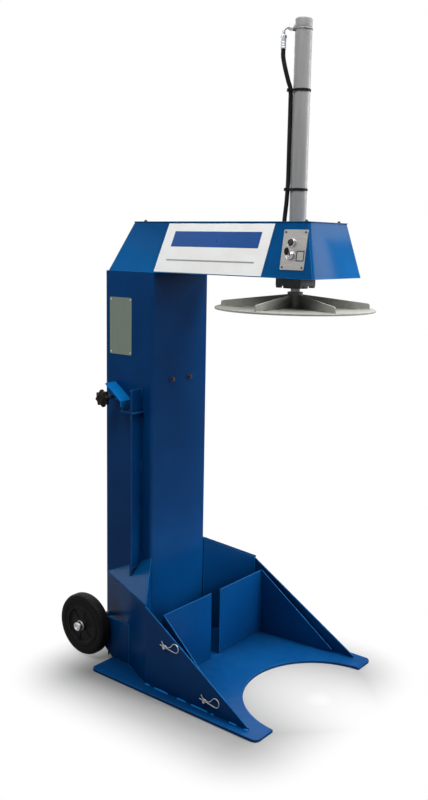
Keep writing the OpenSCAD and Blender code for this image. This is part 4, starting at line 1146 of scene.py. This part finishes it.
# %% Tyres, hubs and cap nuts
tread = 113.5
tyre_line = rounded([(72, 0.4), (81, 0.4), (81.6, 2.2), (84.6, 2.2), (85.4, 0),
                     (101, 0), (109.5, 3), (tread, 11.5), (tread, 22.2),
                     (113.1, 22.5), (tread, 22.8), (tread, 33.5), (109.5, 42),
                     (101, 45), (85.4, 45), (84.6, 42.8), (81.6, 42.8),
                     (81, 44.6), (72, 44.6)], 2.4, 3, True)
hub_line = rounded([(10.05, 0.2), (21, 0.2), (23, 7), (60, 8.5), (64, 6),
                    (65.5, 0.8), (71.9, 0.8), (71.9, 44.2), (65.5, 44.2),
                    (64, 39), (60, 36.5), (23, 38), (21, 44.8),
                    (10.05, 44.8)], 1.6, 3, True)
cap_line = rounded([(0, 5), (10.05, 5), (10.05, 0.1), (18, 0.1), (18, 3.6),
                    (16.5, 4.4), (16.5, 15), (15.4, 19.5), (12.4, 22),
                    (8.8, 22), (7.2, 19.4), (6, 18.4), (0, 18.2)], 0.9, 3)
axle_mid = middle_of("wheel_axle")
wheel_in, face_out, cap_out = 256 * MM, 38, 45.3 * MM
caps = bmesh.new()
for side, name in ((-1, "left"), (1, "right")):
    base = Vector((side * wheel_in, axle_mid.y, axle_mid.z))
    tyre = bmesh.new()
    turned(tyre, tyre_line, aimed(base, (side, 0, 0)), 120, True)
    settle(name + "_tyre.moulded", tyre, name + "_wheel_tyre")
    hub = bmesh.new()
    turned(hub, hub_line, aimed(base, (side, 0, 0)), 96, True)
    for k in range(6):
        turn = Matrix.Rotation(math.radians(60 * k + 15), 4, "X")
        low, high = (Vector((side * face_out * MM, 0, r * MM))
                     for r in (22, 62))
        rib = [(-2.2 * MM, -4 * MM), (-1.6 * MM, 1.6 * MM),
               (1.6 * MM, 1.6 * MM), (2.2 * MM, -4 * MM)]
        swept(hub, [base + turn @ low, base + turn @ high], rib,
              up=(side, 0, 0))
    settle(name + "_hub.moulded", hub, name + "_wheel_hub", sharp=32)
    cap_at = aimed(base + Vector((side * cap_out, 0, 0)), (side, 0, 0))
    turned(caps, cap_line, cap_at, 64)
settle("axle_caps.dished", caps, "axle_caps")
print("wheels are", round(2 * tread), "mm across")

# %% [markdown]
# ## The control plate
#
# The plate lies on the sloping side of the hood. Everything on it is placed
# in one frame whose X runs up the slope, whose Y runs to the rear and whose Z
# stands out, which keeps the numbers as simple as on a drawing. The button
# and the key switch have turned chrome bezels; the key's flat bow is black.

# %% Control plate, bezels and button
hood_lean, hood_rise = 30, 170
slope = math.atan2(hood_lean, hood_rise)
outward = Vector((-math.cos(slope), 0, math.sin(slope)))
panel = (Matrix.Translation(middle_of("control_plate") + outward * 1 * MM)
         @ Matrix.Rotation(slope - math.pi / 2, 4, "Y"))


def on_panel(up, aside, lift=0.0):
    return panel @ Matrix.Translation(Vector((up, aside, lift)) * MM)


def bezel(name, rim, cut, place, node):
    """A chrome rim on a barrel that goes through the plate"""
    shape = bmesh.new()
    turned(shape, [(0, -30), (11, -30), (11, 0)] + rounded(rim, cut, 3)
           + [(9.3, -8), (0, -8)], place, 64)
    settle(name, shape, node)


button_at, key_at = on_panel(21, 10), on_panel(-18, 9)
bezel("button_bezel", [(14.5, 0), (14.5, 1.4), (13.6, 5.6), (12.6, 8),
                       (11, 8), (10.2, 6.4), (9.3, 6)], 0.7, button_at,
      "button_housing")
button = bmesh.new()
turned(button, [(0, -3.7), (9, -3.7)]
       + rounded([(9, 4), (9, 12.2), (7.8, 13.3), (5.6, 13.3), (5.2, 12.7),
                  (0, 12.4)], 0.8, 3), button_at, 64)
settle("push_button.turned", button, "push_button", ["button_grey"])
bezel("key_bezel", [(14.5, 0), (14.5, 2.2), (13.4, 8.6), (12.2, 11),
                    (10.6, 11), (9.8, 9.6), (9.3, 9.2)], 0.8, key_at,
      "key_switch_housing")
print("bezels and button turned")

# %% Key and screws
core = bmesh.new()
turned(core, [(0, -7.7), (9, -7.7)]
       + rounded([(9, 11.6), (8, 13.3), (2.4, 13.3)], 0.8, 3)
       + [(2.4, 12.9), (0, 12.9)], key_at, 64)
blade = rounded([(-2, -1.25), (7, -1.25), (7, 1.25), (-2, 1.25)],
                0.3, 1, True)
swept(core, [on_panel(-18, 9, z).translation for z in (13.0, 20, 27.3)],
      [(y * MM, x * MM) for x, y in blade],
      up=tuple(panel.to_3x3() @ Vector((1, 0, 0))))
steel_faces = len(core.faces)
bow = rounded([(0, -1.75), (10.6, -1.75), (12, -0.9), (12, 0.9),
               (10.6, 1.75), (0, 1.75)], 0.7, 2)
turned(core, [tuple(p) for p in bow],
       on_panel(-9, 9, 24.3) @ Matrix.Rotation(math.pi / 2, 4, "X"), 40)
core.faces.ensure_lookup_table()
for face in core.faces[steel_faces:]:
    face.material_index = 1
settle("switch_key.turned", core, "switch_key",
       ["bezel_chrome", "knob_black"])
screws = bmesh.new()
for up in (-54, 54):
    for aside in (-36, 36):
        turned(screws, [(0, 0), (3.5, 0)]
               + rounded([(3.5, 0.5), (3.1, 1.5), (2.1, 2)], 0.5, 2)
               + [(hexed(1.5), 2), (hexed(1.4), 0.8), (0, 0.6)],
               on_panel(up, aside), 24)
settle("control_plate_screws.domed", screws, "control_plate_screws",
       ["dark_steel"])
print("key, core and four screws made")

# %% [markdown]
# ## Printed pieces
#
# Prints are cut from film, so each is a thin sheet whose upper face is
# divided where the colours meet. The big panel is a leaning parallelogram:
# a plain blue bar and a thin grey line on white. The label beside the key is
# a pale field in a dark frame. Nothing is lettered.

# %% Helper for film with coloured fields
def film_sheet(name, corner_of, ups, acrosses, colour_of, thickness,
               finishes, node):
    """corner_of(up, across) gives a place; colour_of(row, column) a colour"""
    shape = bmesh.new()
    layers = [[[shape.verts.new(corner_of(up, across, lift))
                for across in acrosses] for up in ups]
              for lift in (0.0, thickness)]
    bottom, top = layers
    for i in range(len(ups) - 1):
        for j in range(len(acrosses) - 1):
            face = shape.faces.new((top[i][j], top[i][j + 1],
                                    top[i + 1][j + 1], top[i + 1][j]))
            face.material_index = colour_of(i, j)
            shape.faces.new((bottom[i][j], bottom[i + 1][j],
                             bottom[i + 1][j + 1], bottom[i][j + 1]))
    last_i, last_j = len(ups) - 1, len(acrosses) - 1
    rim = ([(i, 0) for i in range(last_i)]
           + [(last_i, j) for j in range(last_j)]
           + [(i, last_j) for i in range(last_i, 0, -1)]
           + [(0, j) for j in range(last_j, 0, -1)])
    for (a, b), (c, d) in zip(rim, rim[1:] + rim[:1]):
        shape.faces.new((bottom[a][b], bottom[c][d], top[c][d], top[a][b]))
    settle(name, shape, node, finishes, sharp=30)


print("film can be cut")

# %% The panel on the hood and the framed label
hood_low = low_of("head_hood")
hood_mid_z = hood_low.z + 0.085
slope_frame = (Matrix.Translation(Vector((
    hood_low.x + (hood_mid_z - hood_low.z) * math.tan(slope), rear_edge,
    hood_mid_z))) @ Matrix.Rotation(slope - math.pi / 2, 4, "Y"))
low_up, high_up = -83.3, 82.3
rear_low, front_low, rear_high, front_high = -94, -548, -140, -578


def panel_corner(up, across, lift):
    rise = (up - low_up) / (high_up - low_up)
    rear = rear_low + (rear_high - rear_low) * rise
    front = front_low + (front_high - front_low) * rise
    return slope_frame @ (Vector((up, rear + (front - rear) * across,
                                  0.05 + lift)) * MM)


ups = [low_up, -44, -39, 4, 56, high_up]
acrosses = [0, 0.09, 0.91, 1]
film_sheet("side_label_panel.printed", panel_corner, ups, acrosses,
           lambda i, j: {3: 1, 1: 2}.get(i, 0) if j == 1 else 0, 0.8,
           ["label_white", "film_blue", "film_grey"], "side_label_panel")
label_ups = [-16, -13, 13, 16]
label_acrosses = [-14, -11, 11, 14]
film_sheet("switch_label.framed",
           lambda up, across, lift: on_panel(-19 + up, -26 + across,
                                             lift).translation,
           label_ups, label_acrosses,
           lambda i, j: 0 if i == 1 and j == 1 else 1, 0.5,
           ["film_pale", "film_dark"], "switch_label")
print("films cut")

# %% [markdown]
# ## The data plate
#
# A bare plate of anodised aluminium is riveted to the column. It has round
# corners, a rolled border a few millimetres in, and four domed rivets. The
# border is a shallow groove modelled in the face, so it stays visible when
# the light changes.

# %% Data plate
face_x = low_of("column_shell").x
width, height = 108.0, 204.0
plate_at = aimed((face_x, rear_edge + 57 * MM, 1.215), (-1, 0, 0))
plate = bmesh.new()


def plate_ring(inset, lift, corner):
    half_w, half_h = width / 2 - inset, height / 2 - inset
    return [plate.verts.new(plate_at @ (Vector((x, y, lift)) * MM))
            for x, y in rounded([(-half_w, -half_h), (half_w, -half_h),
                                 (half_w, half_h), (-half_w, half_h)],
                                corner, 5, True)]


rings = [plate_ring(*r) for r in (
    (0, 0.0, 5), (0, 0.75, 5), (0.3, 1.0, 4.8), (3.4, 1.0, 3.4),
    (3.8, 0.6, 3.2), (4.4, 0.6, 3.0), (4.8, 1.0, 2.8))]
skin(plate, rings)
plate.faces.new(rings[-1])
plate.faces.new(list(reversed(rings[0])))
settle("data_plate.bordered", plate, "data_plate", sharp=30)
rivets = bmesh.new()
for y in (10, 104):
    for z in (1121, 1309):
        turned(rivets, [(0, 0.9), (3.0, 0.9), (2.9, 1.5), (2.2, 2.2),
                        (1.2, 2.5), (0, 2.6)],
               aimed((face_x, rear_edge + y * MM, z * MM), (-1, 0, 0)), 24)
settle("data_plate_rivets", rivets, None, ["zinc"], "stand", "data_metal")
print("data plate is", width, "by", height, "mm")

# %% [markdown]
# ## Cover screws
#
# The top cover is held by four hexagon screws with washers. Their places come
# from the corners of their solids' box. Each head is turned with a hexagonal
# ring, which gives the chamfered corners of a real screw.

# %% Cover screws
washer_r = 0.007
low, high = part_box("top_cover_screws")
tops = bmesh.new()
for k, x in enumerate((low.x + washer_r, high.x - washer_r)):
    for m, y in enumerate((low.y + washer_r, high.y - washer_r)):
        turned(tops, rounded([(0, 0), (7, 0), (7, 1.5), (6.6, 2), (4.6, 2)],
                             0.4, 2)
               + [(hexed(4.5), 2.1), (hexed(4.5), 5.3), (3.9, 6), (2.6, 6),
                  (2.2, 5.7), (0, 5.7)],
               aimed((x, y, low.z), (0, 0, 1), 0.5 * k + 0.9 * m), 36)
settle("top_cover_screws.hexed", tops, "top_cover_screws", sharp=30)
print("top cover screws turned")

# %% [markdown]
# ## Inside and underneath
#
# The tank, the motor, the valve block and the control box stand inside the
# column, and the head has a floor sheet and a beam. They are rarely seen, but
# get broken edges too, so that the machine also holds up with its cover off.

# %% Inner pieces
for node, width in {"oil_tank": 2.0, "valve_block": 1.0, "control_box": 2.5,
                    "pump_motor": 1.5, "head_beam": 1.0,
                    "head_floor": 0.6}.items():
    eased(node, width * MM)
print("inner pieces eased")
